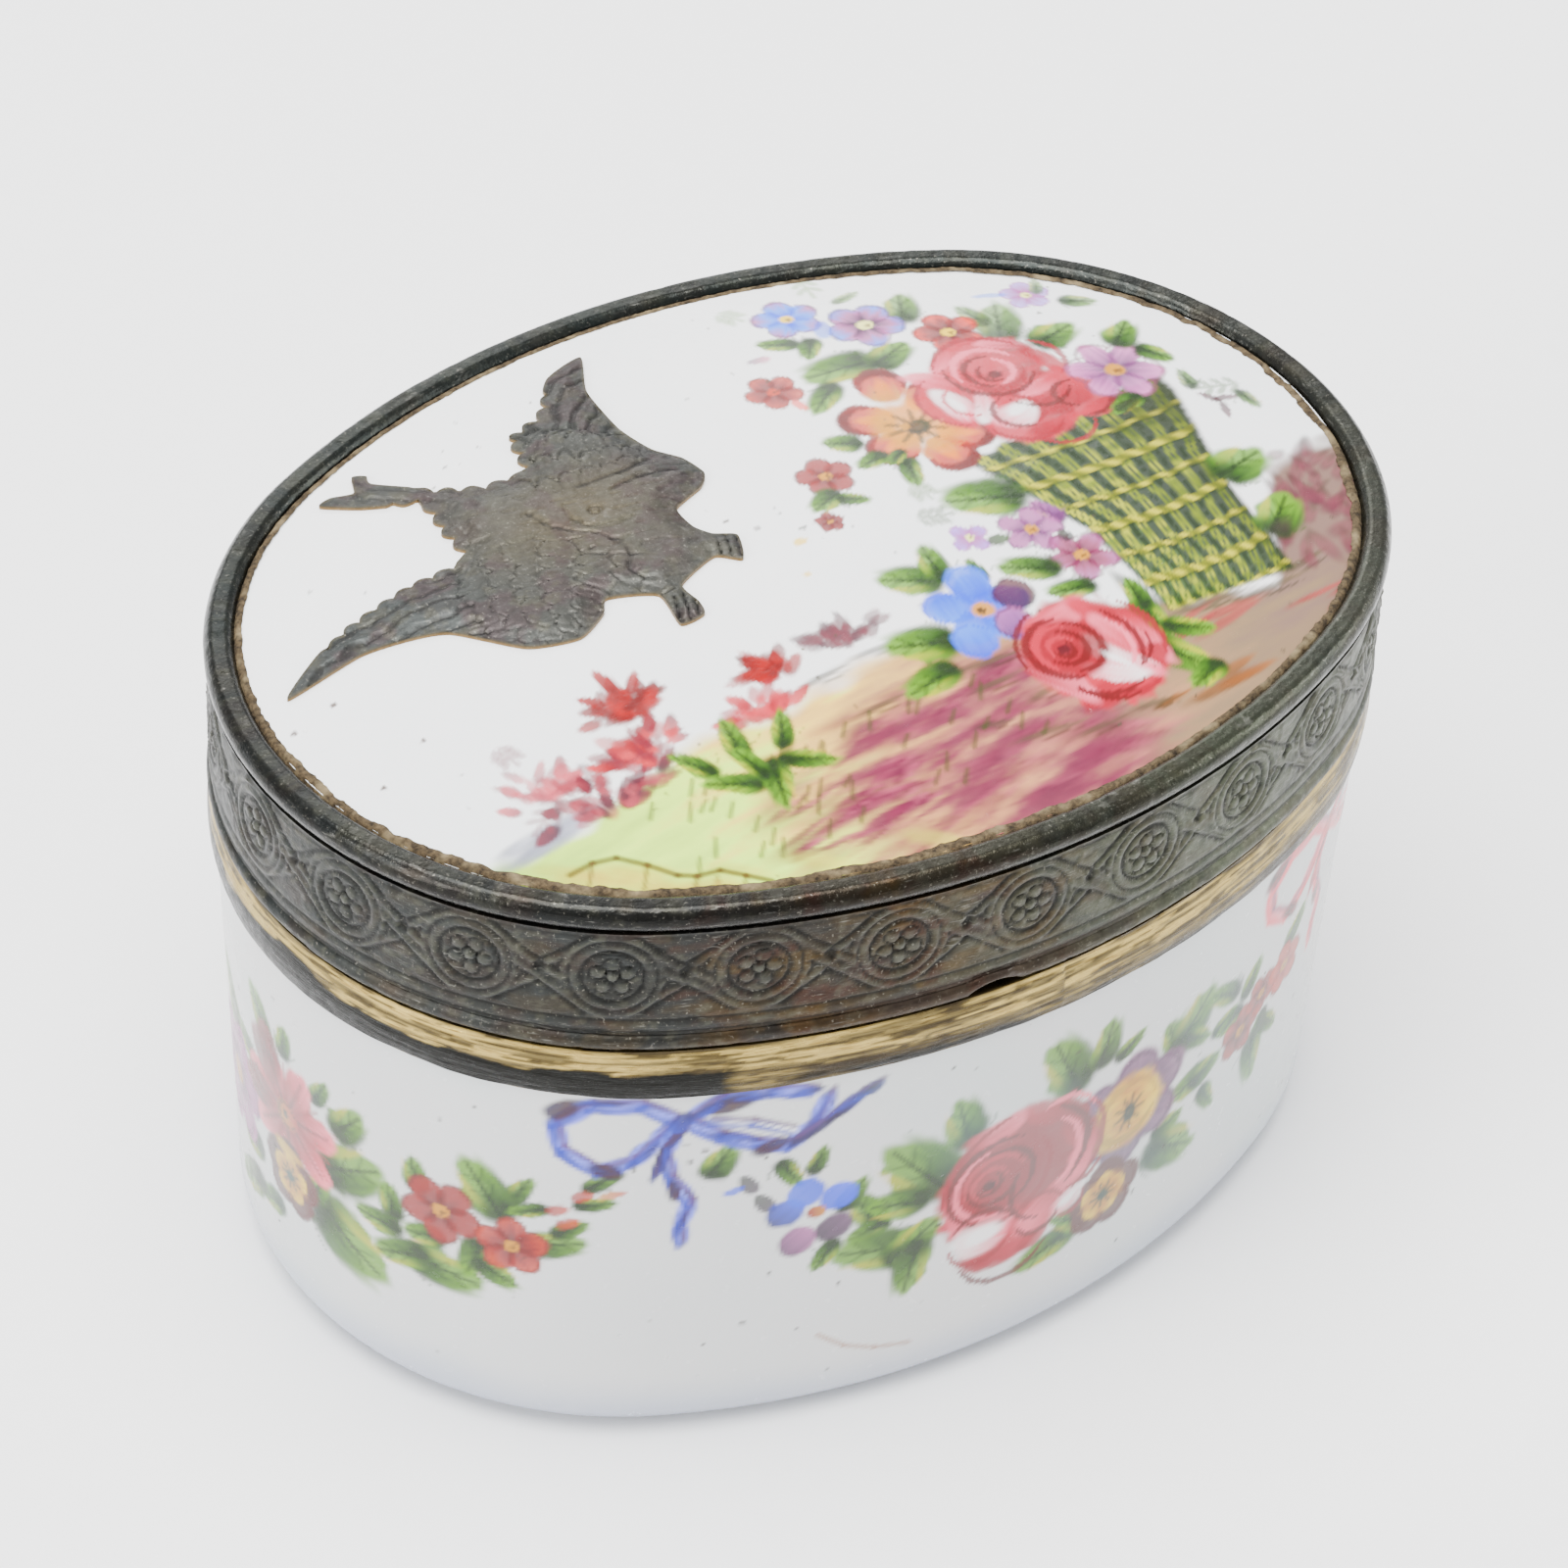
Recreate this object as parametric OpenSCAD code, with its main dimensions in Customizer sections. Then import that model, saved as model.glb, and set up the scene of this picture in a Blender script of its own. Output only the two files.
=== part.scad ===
// Oval enamel pill box with a hinged lid.
// The box is an enamelled copper bowl with a silver-gilt collar round its mouth. The lid is
// a chased silver band that holds a domed, enamelled copper plaque with a silver swallow on it.
// +X runs along the oval, the lid opens at the front (-Y) and turns on a hinge at the back.
// The origin is the centre of the oval at the face that the box stands on.
//
// Every ring follows one four-centred oval. A profile is drawn as [offset, height], where
// offset 0 is the outer face of the lid band, negative is inwards, and height is above the base.

/* [Oval] */
// Length over the lid band
box_l = 50; // [42:0.5:60]
// Width over the lid band
box_w = 37.2; // [33:0.2:41]
// How much tighter the ends are than a circle of the width, per mm of extra length
end_tightness = 0.31; // [0.25:0.01:0.4]

/* [Heights] */
// Height of the enamelled bowl that shows below the collar
bowl_h = 20; // [14:0.5:26]
// Height of the collar's outer band
collar_h = 2.4; // [2:0.1:4]
// Height of the lid band with its rim wire
lid_h = 7.2; // [6:0.1:11]
// Rise of the plaque's dome from its edge to its middle
dome_h = 1.3; // [0.8:0.1:2]

/* [Bowl] */
// Inset of the enamel wall from the lid band, at the collar
wall_inset = 0.3; // [0.25:0.05:0.6]
// Extra inset of the wall at the foot, which makes the taper
wall_taper = 0.6; // [0.2:0.1:1.5]
// Outside radius of the rounded foot
foot_r = 2.2; // [2:0.1:4]
// Thickness of the painted outer enamel
enamel_t = 0.4; // [0.3:0.05:0.6]
// Thickness of the pressed copper
copper_t = 0.5; // [0.4:0.05:0.8]
// Thickness of the plain enamel lining
lining_t = 0.4; // [0.3:0.05:0.6]

/* [Metal mounts] */
// Thickness of the lid band's strip
band_t = 0.5; // [0.4:0.05:0.7]
// Diameter of the round wire that forms the lid's rim
rim_wire_d = 1.3; // [1:0.1:1.8]
// Height of the upstanding lip inside the collar
lip_h = 1.6; // [1:0.1:2.5]
// Thickness of the lip and of the seat ring
lip_t = 0.4; // [0.3:0.05:0.6]
// Radius of the collar's rounded outer face, seen in section
collar_face_r = 5; // [4:0.5:10]
// Width of the fingernail notch in the lid band's lower edge
notch_w = 2.4; // [1.5:0.1:5]
// Height of the fingernail notch
notch_h = 0.4; // [0.2:0.05:0.6]
// Place of the notch along the front, from the middle
notch_x = -3.3; // [-6:0.1:6]

/* [Clearances] */
// Gap between the lid band and the collar when closed
lid_gap = 0.1; // [0.05:0.05:0.2]
// Clearance between the lip and the inside of the lid band
lip_gap = 0.3; // [0.2:0.05:0.5]
// Layer of cement round the bowl's edge and round the plaque
cement_t = 0.1; // [0.05:0.05:0.2]
// Radial clearance between the hinge pin and the lid's knuckles
pin_gap = 0.05; // [0.03:0.01:0.1]
// Gap between neighbouring knuckles
knuckle_gap = 0.1; // [0.05:0.05:0.2]
// Gap between the hinge and the walls behind it
hinge_gap = 0.1; // [0.1:0.05:0.3]

/* [Hinge] */
// Diameter of the hinge pin
pin_d = 0.8; // [0.6:0.1:1]
// Wall of the knuckles round the pin
knuckle_wall = 0.5; // [0.4:0.05:0.7]
// Length of one knuckle; there are five
knuckle_l = 2.4; // [1.8:0.1:3]
// Height of each hinge leaf
leaf_h = 1.2; // [0.8:0.1:1.2]
// Angle between the leaves' stop edges with the lid closed
stop_angle = 101; // [95:1:110]

/* [Swallow] */
// Length of the swallow from its lower wing's tip to its upper wing's edge
swallow_l = 21; // [16:0.5:22]
// Thickness of the applied silver
swallow_t = 0.4; // [0.3:0.1:0.8]
// Distance from its lower wing's tip to the lid's left end
swallow_end_gap = 3; // [2.7:0.1:5]
// Distance from its upper wing's tip to the lid's back
swallow_back_gap = 3.2; // [3:0.1:6]

/* [Hidden] */
$fn = 96;
reach = 20;                                 // height and width of cutting blocks
over = 1;                                   // how far a cut runs past what it cuts
arc_steps = 8;                              // straight steps in a quarter-round of a profile

// The four-centred oval
half_l = box_l / 2;
half_w = box_w / 2;
end_r = half_w - end_tightness * (half_l - half_w);
side_r = half_l + (half_l - half_w) / (2 * end_tightness);
end_x = half_l - end_r;                     // the end arcs' centres are at +-end_x
side_y = side_r - half_w;                   // the side arcs' centres are at +-side_y
end_proud = 0.03;                           // the ends stand this much proud, to meet the sides cleanly
join_depth = 1.6;                           // the arcs meet at this depth, in mid-wall
join_x = end_x + (end_r - join_depth) * cos(atan2(side_y, end_x));

// The bowl
bowl_t = enamel_t + copper_t + lining_t;
foot_inset = wall_inset + wall_taper;
flange_t = 0.4;                             // collar metal over the bowl's edge
collar_top = bowl_h + collar_h;
bowl_top = collar_top - flange_t - cement_t;
collar_skirt = wall_inset - cement_t;       // inset of the collar's inner face
bulge_at = 0.4;                             // share of the collar's height where it is most proud
bulge_z = bowl_h + bulge_at * collar_h;
collar_steps = 4;

// The lid
lid_z = collar_top + lid_gap;
lid_top = lid_z + lid_h;                    // top of the rim wire, before it was worn flat
bead_r = 0.42;                              // bead along the band's lower edge
bead_a = 60;                                // the bead turns this far up and down from its middle
bead_steps = 6;
frieze_inset = 0.15;                        // ground of the chased frieze
rim_r = rim_wire_d / 2;
rim_z = lid_top - rim_r;                    // centre of the rim wire
crest_a = 65;                               // the wire is worn flat above this angle
solder_a = 65;                              // and flat below this one, where it meets the band
band_top = rim_z - rim_r * sin(solder_a);
plaque_t = enamel_t + copper_t + lining_t;
plaque_inset = rim_wire_d + cement_t / 2;   // edge of the plaque
edge_drop = 0.35;                           // the plaque's edge lies this far below the rim's top
plaque_edge = lid_top - edge_drop;
edge_rise = 0.08;                           // most that the dome's foot leaves a level line
seat_top = plaque_edge - plaque_t - cement_t;
seat_h = 0.6;                               // height of the seat ring below the plaque's bed
fillet_w = 0.5;                             // cement that shows on the plaque's edge
fillet_lag = 5;                             // it starts this far above the wire's lower flat
fillet_a = 140;                             // angle on the rim wire that it climbs to
fillet_steps = 5;
wire_gap = 0.012;                           // keeps the steps of its arc off the wire
seat_w = 1.5;                               // how far the seat ring reaches under the plaque
lip_out = band_t + lip_gap;                 // inset of the lip's outer face

// The hinge
pin_r = pin_d / 2;
knuckle_r = pin_r + pin_gap + knuckle_wall;
hinge_y = half_w + hinge_gap + knuckle_r;
hinge_z = collar_top + lid_gap / 2;
leaf_drop = knuckle_r * tan(stop_angle / 2);  // from the pin's axis to a leaf's stop edge
knuckles = 5;
hinge_l = knuckles * knuckle_l + (knuckles - 1) * knuckle_gap;
knuckle_pitch = knuckle_l + knuckle_gap;
web_t = 0.9;                                // thickness of a knuckle's web to its leaf

// Points on an arc from angle a0 to a1 round [x, y]
function arc(x, y, r, a0, a1, n = arc_steps) =
    [for (i = [0 : n]) [x + r * cos(a0 + (a1 - a0) * i / n), y + r * sin(a0 + (a1 - a0) * i / n)]];

// Turns an outline of [offset, height] points, from bottom to top, into a round solid
module turned(points, radius) {
    rotate_extrude() polygon(concat(
        [[0, points[0][1]]],
        [for (p = points) [p[0] + radius, p[1]]],
        [[0, points[len(points) - 1][1]]]));
}

// Fills the oval inside an outline: the two sides cross as a lens, and a round end closes each tip
module oval_solid(points) {
    low = points[0][1];
    high = points[len(points) - 1][1];
    intersection() {
        translate([0, -side_y, 0]) turned(points, side_r);
        translate([0, side_y, 0]) turned(points, side_r);
        translate([-join_x, -box_w, low - over]) cube([2 * join_x, 2 * box_w, high - low + 2 * over]);
    }
    for (s = [-1, 1]) translate([s * end_x, 0, 0]) turned(points, end_r + end_proud);
}

// Ring between two outlines; the inner one runs past the outer one at both ends
module ring(outer, inner) {
    difference() {
        oval_solid(outer);
        oval_solid(inner);
    }
}

// Outline of the bowl at a depth below its outer face
function bowl_outline(depth, top) = concat(
    arc(-foot_inset - foot_r, foot_r, foot_r - depth, -90, 0),
    [[-wall_inset - depth, bowl_h], [-wall_inset - depth, top]]);

// One layer of the bowl, between two depths below its outer face
module bowl_layer(outer, inner) {
    ring(bowl_outline(outer, bowl_top), bowl_outline(inner, bowl_top + reach));
}

// Outer outline of the collar
function collar_face() = arc(-collar_face_r, bulge_z, collar_face_r,
    -asin((bulge_z - bowl_h) / collar_face_r), asin((collar_top - bulge_z) / collar_face_r), collar_steps);

// Outer outline of the lid band: a bead at its lower edge, then the ground of the frieze
function band_face() = concat(
    arc(-bead_r, lid_z + bead_r * sin(bead_a), bead_r, -bead_a, bead_a, bead_steps),
    [[-frieze_inset, lid_z + 2 * bead_r], [-frieze_inset, band_top]]);

// Everything below a dome that rises dome_h from the plaque's edge, dropped by depth.
// The dome is part of a barrel, so that its edge stays level all round the oval.
module dome(depth) {
    reach_x = half_l - plaque_inset;
    reach_y = half_w - plaque_inset;
    long_r = (reach_x * reach_x + dome_h * dome_h) / (2 * dome_h);
    cross_r = (reach_y * reach_y + dome_h * dome_h) / (2 * dome_h);
    swing = 2 * asin(half_l / long_r);
    translate([0, 0, plaque_edge + dome_h - depth - long_r]) rotate([90, 0, 0]) rotate([0, 0, 90 - swing / 2])
        rotate_extrude(angle = swing) intersection() {
            translate([long_r - cross_r, 0]) circle(r = cross_r);
            translate([long_r - reach / 2, -half_w]) square([reach, box_w]);
        }
}

// One layer of the domed plaque, between two depths below its top
module plaque_layer(top, bottom) {
    low = plaque_edge - bottom - dome_h;
    difference() {
        intersection() {
            oval_solid([[-plaque_inset, low], [-plaque_inset, lid_top + dome_h + over]]);
            dome(top);
        }
        dome(bottom);
    }
}

// Cylinder along X on the hinge's axis, from x0 over a length
module on_hinge(x0, length, radius) {
    translate([x0, hinge_y, hinge_z]) rotate([0, 90, 0]) cylinder(h = length, r = radius);
}

// Knuckle i of five, counted from -X, with a web down (side -1) or up (side 1) to its leaf
module knuckle(i, side, bore) {
    x0 = -hinge_l / 2 + i * knuckle_pitch;
    difference() {
        union() {
            on_hinge(x0, knuckle_l, knuckle_r);
            translate([x0, hinge_y - web_t / 2, side > 0 ? hinge_z : hinge_z - leaf_drop])
                cube([knuckle_l, web_t, leaf_drop]);
        }
        on_hinge(x0 - over, knuckle_l + 2 * over, bore);
    }
}

// Strip behind the collar or the lid band, flat at the back and shaped to the wall in front
module leaf(z, wall) {
    difference() {
        translate([-hinge_l / 2, 0, z]) cube([hinge_l, hinge_y + knuckle_r, leaf_h]);
        oval_solid(wall);
    }
}

module copper_bowl() {
    color("peru") bowl_layer(enamel_t, enamel_t + copper_t);
}

module outer_enamel() {
    color("white") bowl_layer(0, enamel_t);
}

module inner_enamel() {
    color("aliceblue") bowl_layer(enamel_t + copper_t, bowl_t);
}

// Cement between the bowl's edge and the collar
module bowl_cement() {
    color("tan") ring(
        [[-collar_skirt, bowl_h], [-collar_skirt, bowl_top + cement_t]],
        [[-wall_inset, bowl_h - over], [-wall_inset, bowl_top], [-wall_inset - bowl_t, bowl_top],
         [-wall_inset - bowl_t, bowl_top + reach]]);
}

// Gilt band outside the bowl's edge, rounded outside, with a flange over the bowl
module collar_band() {
    flange_z = collar_top - flange_t;
    color("palegoldenrod") ring(collar_face(),
        [[-collar_skirt, bowl_h - over], [-collar_skirt, flange_z], [-wall_inset - bowl_t, flange_z],
         [-wall_inset - bowl_t, collar_top + reach]]);
}

// Lip that stands up inside the lid band and locates the lid
module mouth_lip() {
    color("darkkhaki") ring(
        [[-lip_out, collar_top], [-lip_out, collar_top + lip_h]],
        [[-lip_out - lip_t, collar_top - over], [-lip_out - lip_t, collar_top + reach]]);
}

module box_hinge_leaf() {
    color("gray") leaf(hinge_z - leaf_drop - leaf_h, collar_face());
}

module box_knuckle_left() {
    color("darkgray") knuckle(0, -1, pin_r);
}

module box_knuckle_middle() {
    color("darkgray") knuckle(2, -1, pin_r);
}

module box_knuckle_right() {
    color("darkgray") knuckle(4, -1, pin_r);
}

module hinge_pin() {
    color("silver") on_hinge(-hinge_l / 2, hinge_l, pin_r);
}

// Band of the lid, with a crescent notch for a fingernail
module lid_band() {
    notch_r = (notch_w * notch_w / 4 + notch_h * notch_h) / (2 * notch_h);
    color("slategray") difference() {
        ring(band_face(), [[-band_t, lid_z - over], [-band_t, lid_top]]);
        translate([notch_x, 0, lid_z + notch_h - notch_r]) rotate([90, 0, 0])
            cylinder(h = half_w, r = notch_r);
    }
}

// Round wire soldered on top of the band
module rim_wire() {
    color("darkslategray") ring(
        arc(-rim_r, rim_z, rim_r, -solder_a, crest_a),
        concat([[-rim_r + rim_r * cos(180 + solder_a), band_top - over]],
            arc(-rim_r, rim_z, rim_r, 180 + solder_a, 180 - crest_a),
            [[-rim_r + rim_r * cos(180 - crest_a), lid_top + over]]));
}

// Ledge inside the band that the plaque rests on
module seat_ring() {
    seat_in = band_t + seat_w;
    color("gray") ring(
        [[-band_t, seat_top - seat_h], [-band_t, band_top]],
        [[-seat_in, seat_top - seat_h - over], [-seat_in, seat_top], [-band_t - lip_t, seat_top],
         [-band_t - lip_t, lid_top]]);
}

module plaque_copper() {
    color("peru") plaque_layer(enamel_t, enamel_t + copper_t);
}

module plaque_enamel() {
    color("white") plaque_layer(0, enamel_t);
}

module plaque_lining() {
    color("aliceblue") plaque_layer(enamel_t + copper_t, plaque_t);
}

// Cement that beds the plaque on its seat, fills the joint round it and shows as a fillet
module plaque_cement() {
    seat_in = band_t + seat_w;
    fillet_in = plaque_inset + fillet_w;
    bed_top = plaque_edge - plaque_t - edge_rise;
    solder_end = -rim_r + rim_r * cos(180 + solder_a) - wire_gap;  // past the wire's lower flat
    color("saddlebrown") ring(
        concat([[-band_t - lip_t, seat_top], [-band_t - lip_t, band_top]],
            [if (solder_end < -band_t - lip_t) [solder_end, band_top]],
            arc(-rim_r, rim_z, rim_r + wire_gap, 180 + solder_a - fillet_lag, fillet_a, fillet_steps),
            [[-fillet_in, plaque_edge + 2 * edge_rise]]),
        [[-seat_in, seat_top - over], [-seat_in, bed_top], [-plaque_inset, bed_top],
         [-plaque_inset, plaque_edge], [-fillet_in, plaque_edge + edge_rise],
         [-fillet_in, lid_top]]);
}

// The swallow seen from above, before it is scaled
outline_l = 21;
outline_end = 15;                           // from its breast to its lower wing's tip, along X
outline_back = 10.4;                        // from its breast to its upper wing's tip, along Y

// Outline of the swallow, from its breast: upper wing, breast and feet, lower wing, forked tail
function swallow_outline() = [
    [6, 10.4], [4.8, 8], [4.4, 5], [4.7, 3], [5.4, 1.8], [5.6, 0.5], [5, -0.2], [3.4, -0.9],
    [3.3, -2.2], [3.7, -3], [4.5, -3.6], [3.9, -4.9], [3, -4.2], [1, -5],
    [1, -6.2], [0.8, -6.9], [-0.3, -6.9], [-0.1, -5], [-1.9, -4.1], [-2.5, -4.8],
    [-4, -5.5], [-6, -4.8], [-8, -2.4], [-9.5, -1.8], [-11.5, -1.5], [-15, -2],
    [-13, -0.6], [-11, 0.3], [-8, 1], [-5.4, 1.2], [-5.1, 3.2], [-4.9, 5.2],
    [-6.8, 6.5], [-8, 7.6], [-7.4, 7.8], [-6.5, 7.5], [-6, 8.5], [-5.5, 8.2], [-5.6, 7.6],
    [-4, 6], [-2.2, 4.9], [-0.4, 4.8], [0.4, 7], [2.2, 7.8], [4, 9.8]
];

// Swallow cut from thin silver and bent to the dome
module swallow() {
    size = swallow_l / outline_l;
    x = -half_l + swallow_end_gap + outline_end * size;
    y = half_w - swallow_back_gap - outline_back * size;
    color("dimgray") intersection() {
        translate([x, y, plaque_edge]) linear_extrude(dome_h + swallow_t + over) scale(size)
            polygon(swallow_outline());
        difference() {
            dome(-swallow_t);
            dome(0);
        }
    }
}

module lid_hinge_leaf() {
    color("gray") leaf(hinge_z + leaf_drop, band_face());
}

module lid_knuckle_left() {
    color("silver") knuckle(1, 1, pin_r + pin_gap);
}

module lid_knuckle_right() {
    color("silver") knuckle(3, 1, pin_r + pin_gap);
}

copper_bowl();
outer_enamel();
inner_enamel();
bowl_cement();
collar_band();
mouth_lip();
box_hinge_leaf();
box_knuckle_left();
box_knuckle_middle();
box_knuckle_right();
hinge_pin();
lid_band();
rim_wire();
seat_ring();
plaque_copper();
plaque_enamel();
plaque_lining();
plaque_cement();
swallow();
lid_hinge_leaf();
lid_knuckle_left();
lid_knuckle_right();
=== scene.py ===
import math

import bpy
import numpy as np
from mathutils import Matrix, Vector, geometry


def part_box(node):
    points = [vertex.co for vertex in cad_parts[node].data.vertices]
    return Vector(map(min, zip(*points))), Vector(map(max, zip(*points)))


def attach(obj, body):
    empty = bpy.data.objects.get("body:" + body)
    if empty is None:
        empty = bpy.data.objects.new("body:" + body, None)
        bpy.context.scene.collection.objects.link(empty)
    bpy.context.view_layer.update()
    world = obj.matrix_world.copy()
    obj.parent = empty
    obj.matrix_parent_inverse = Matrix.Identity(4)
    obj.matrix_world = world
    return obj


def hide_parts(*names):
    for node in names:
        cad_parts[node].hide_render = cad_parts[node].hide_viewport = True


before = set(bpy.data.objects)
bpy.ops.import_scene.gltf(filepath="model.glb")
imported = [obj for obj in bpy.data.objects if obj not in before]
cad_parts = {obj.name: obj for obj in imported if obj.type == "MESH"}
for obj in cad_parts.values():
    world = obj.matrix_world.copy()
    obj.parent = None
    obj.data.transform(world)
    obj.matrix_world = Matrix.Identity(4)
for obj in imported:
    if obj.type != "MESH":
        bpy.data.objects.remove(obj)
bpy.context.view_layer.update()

# Oval enamel pill box: the looks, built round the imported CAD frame.
# Shapes are worked out in millimetres in the frame's axes and turned into metres when a mesh is made.
# s is the distance round the oval from the middle of the front, growing towards +X; "offset" is
# the distance outside the lid band's outer face, so it is negative inside; z is the height.

MM = 0.001

# ---------------------------------------------------------------- sizes, from the CAD nodes


def low_z(node):
    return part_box(node)[0].z / MM


def high_z(node):
    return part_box(node)[1].z / MM


END_PROUD = 0.03                # the CAD's round ends stand this much outside the true oval
END_TIGHTNESS = 0.31            # how much tighter the ends are than a circle of the width
HALF_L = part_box("lid_band")[1].x / MM - END_PROUD
HALF_W = -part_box("lid_band")[0].y / MM
END_R = HALF_W - END_TIGHTNESS * (HALF_L - HALF_W)
SIDE_R = HALF_L + (HALF_L - HALF_W) / (2 * END_TIGHTNESS)
END_X = HALF_L - END_R
SIDE_Y = SIDE_R - HALF_W
JOIN = math.atan2(SIDE_Y, END_X)                # direction in which the side and end arcs meet
SIDE_ARC = SIDE_R * (math.pi / 2 - JOIN)        # half the length of a side arc
END_ARC = END_R * 2 * JOIN
ROUND = 4 * SIDE_ARC + 2 * END_ARC              # the whole way round

BOWL_TOP = high_z("outer_enamel")
COLLAR_LOW = low_z("collar_band")
COLLAR_TOP = high_z("collar_band")
LID_LOW = low_z("lid_band")
BAND_TOP = high_z("lid_band")
WIRE_LOW = low_z("rim_wire")
WIRE_TOP = high_z("rim_wire")
DOME_TOP = high_z("plaque_enamel")
PLAQUE_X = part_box("plaque_enamel")[1].x / MM - END_PROUD
PLAQUE_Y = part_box("plaque_enamel")[1].y / MM
PLAQUE_INSET = HALF_L - PLAQUE_X

WALL_INSET = 0.3                # bowl wall from the lid band, at the collar
FOOT_INSET = 0.9                # the same at the foot
FOOT_R = 2.2
ENAMEL_T = 0.4
BAND_T = 0.5
WIRE_R = 0.65
DOME_H = 1.3
EDGE_Z = DOME_TOP - DOME_H      # top of the plaque at its edge

# ---------------------------------------------------------------- noise


def smooth(x, low=0.0, high=1.0):
    t = np.clip((x - low) / (high - low), 0, 1)
    return t * t * (3 - 2 * t)


def noise(u, v, seed):
    """Value noise from 0 to 1, with one cell per unit."""
    size = 256
    grid = np.random.default_rng(seed).random((size, size))
    u = np.asarray(u, float)
    v = np.asarray(v, float)
    i = np.floor(u).astype(int)
    j = np.floor(v).astype(int)
    fu = smooth(u - i)
    fv = smooth(v - j)
    i0, i1, j0, j1 = i % size, (i + 1) % size, j % size, (j + 1) % size
    near = grid[i0, j0] * (1 - fu) + grid[i1, j0] * fu
    far = grid[i0, j1] * (1 - fu) + grid[i1, j1] * fu
    return near * (1 - fv) + far * fv


def fbm(u, v, seed, octaves=4):
    """Fractal noise, about 0 to 1."""
    total = 0.0
    weight = 0.5
    whole = 0.0
    for k in range(octaves):
        total = total + weight * noise(np.asarray(u) * 2 ** k + 17 * k, np.asarray(v) * 2 ** k + 5 * k,
                                       seed + k)
        whole += weight
        weight *= 0.5
    return total / whole


# ---------------------------------------------------------------- the oval


def oval(s, offset=0.0):
    """x, y and the outward normal's x, y at s round the oval, offset outwards."""
    s = np.mod(np.asarray(s, float), ROUND)
    offset = np.broadcast_to(np.asarray(offset, float), s.shape)
    marks = np.array([SIDE_ARC, SIDE_ARC + END_ARC, 3 * SIDE_ARC + END_ARC, 3 * SIDE_ARC + 2 * END_ARC])
    part = np.searchsorted(marks, s, side="right")
    right = math.pi / 2
    cx = np.choose(part, [0, END_X, 0, -END_X, 0])
    cy = np.choose(part, [SIDE_Y, 0, -SIDE_Y, 0, SIDE_Y])
    radius = np.choose(part, [SIDE_R, END_R, SIDE_R, END_R, SIDE_R])
    angle = np.choose(part, [
        -right + s / SIDE_R,
        -JOIN + (s - marks[0]) / END_R,
        JOIN + (s - marks[1]) / SIDE_R,
        math.pi - JOIN + (s - marks[2]) / END_R,
        -right + (s - ROUND) / SIDE_R])
    nx = np.cos(angle)
    ny = np.sin(angle)
    return cx + (radius + offset) * nx, cy + (radius + offset) * ny, nx, ny


def front_s(s):
    """s counted from the front's middle, from minus half the way round to plus half."""
    return (np.asarray(s) + ROUND / 2) % ROUND - ROUND / 2


def dome(x, y):
    """Height of the plaque's top."""
    return EDGE_Z + DOME_H * (1 - (x / PLAQUE_X) ** 2 - (y / PLAQUE_Y) ** 2)


# ---------------------------------------------------------------- colours


WHITEST = 0.74                  # reflectance of the white enamel
BOWL_SHADED_WHITE = 0.53               # the same white glaze as the lid, painted darker here as shade on the bowl's upright wall
LID_LIGHT = 4.2                 # how strongly the studio lights the lid, the bowl's wall and the metal
BOWL_LIGHT = 4.5
METAL_LIGHT = 4.6
RIM_LIGHT = 7.2
GILT_LIGHT = 7.6


def pigment(rgb, light=LID_LIGHT, depth=0.6):
    """Scene colour that shows as about this 0 to 255 screen colour under the studio light.

    The screen's film-like response is x / (1 - x) to a power and pulls colours together, so depth
    first lowers a colour's weaker parts.
    """
    v = np.asarray(rgb, float) / 255
    v = np.clip(v - depth * (v.max(-1, keepdims=True) - v), 0.03, 0.95)
    return np.clip(0.2167 * (v / (1 - v)) ** 1.25 / light, 0.002, WHITEST)


def metal(rgb, light):
    return pigment(rgb, light, 0.12)


WHITE = (236, 238, 237)
CREAM = (240, 232, 212)
LEAF_LIGHT = (172, 196, 88)
LEAF_MID = (108, 146, 52)
LEAF_DARK = (42, 62, 34)
OLIVE = (78, 88, 44)
PINK_PALE = (240, 198, 208)
PINK = (214, 118, 144)
ROSE = (196, 76, 108)
CRIMSON = (156, 32, 64)
MAROON = (100, 28, 56)
ORANGE_PALE = (216, 138, 36)
ORANGE = (194, 90, 8)
RUST = (152, 46, 4)
YELLOW = (218, 200, 24)
YELLOW_PALE = (228, 222, 96)
BLUE_PALE = (168, 206, 240)
BLUE = (100, 158, 224)
BLUE_DEEP = (50, 80, 164)
LILAC = (208, 172, 202)
VIOLET = (150, 102, 148)
PLUM = (82, 40, 84)
BROWN = (116, 84, 50)
BLACK = (40, 42, 40)


# ---------------------------------------------------------------- brush work


class Canvas:
    """Colours held at points u, v (in millimetres), which brush strokes are laid over."""

    def __init__(self, u, v, light, white, growth):
        self.place_u = np.asarray(u, float)
        self.u = self.place_u
        self.v = np.asarray(v, float)
        self.rgb = np.full((len(self.u), 3), white)
        self.light = light
        self.growth = growth         # how much larger leaves are than their stated size
        self.seed = 1

    def pigment(self, colour):
        return pigment(colour, self.light)

    def ramp(self, colours, t):
        """Colour at t, from the first colour at 0 to the last at 1."""
        table = np.array([self.pigment(c) for c in colours])
        if len(table) == 1:
            return np.repeat(table, len(t), 0)
        at = np.clip(t, 0, 1) * (len(table) - 1)
        i = np.minimum(at.astype(int), len(table) - 2)
        f = (at - i)[:, None]
        return table[i] * (1 - f) + table[i + 1] * f

    def around(self, s):
        """Puts u's zero at s, for a canvas that goes round the bowl."""
        self.u = front_s(self.place_u - s)

    def near(self, x, y, reach):
        return np.nonzero((np.abs(self.u - x) < reach) & (np.abs(self.v - y) < reach))[0]

    def lay(self, where, alpha, colour):
        self.rgb[where] += alpha[:, None] * (colour - self.rgb[where])


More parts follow.
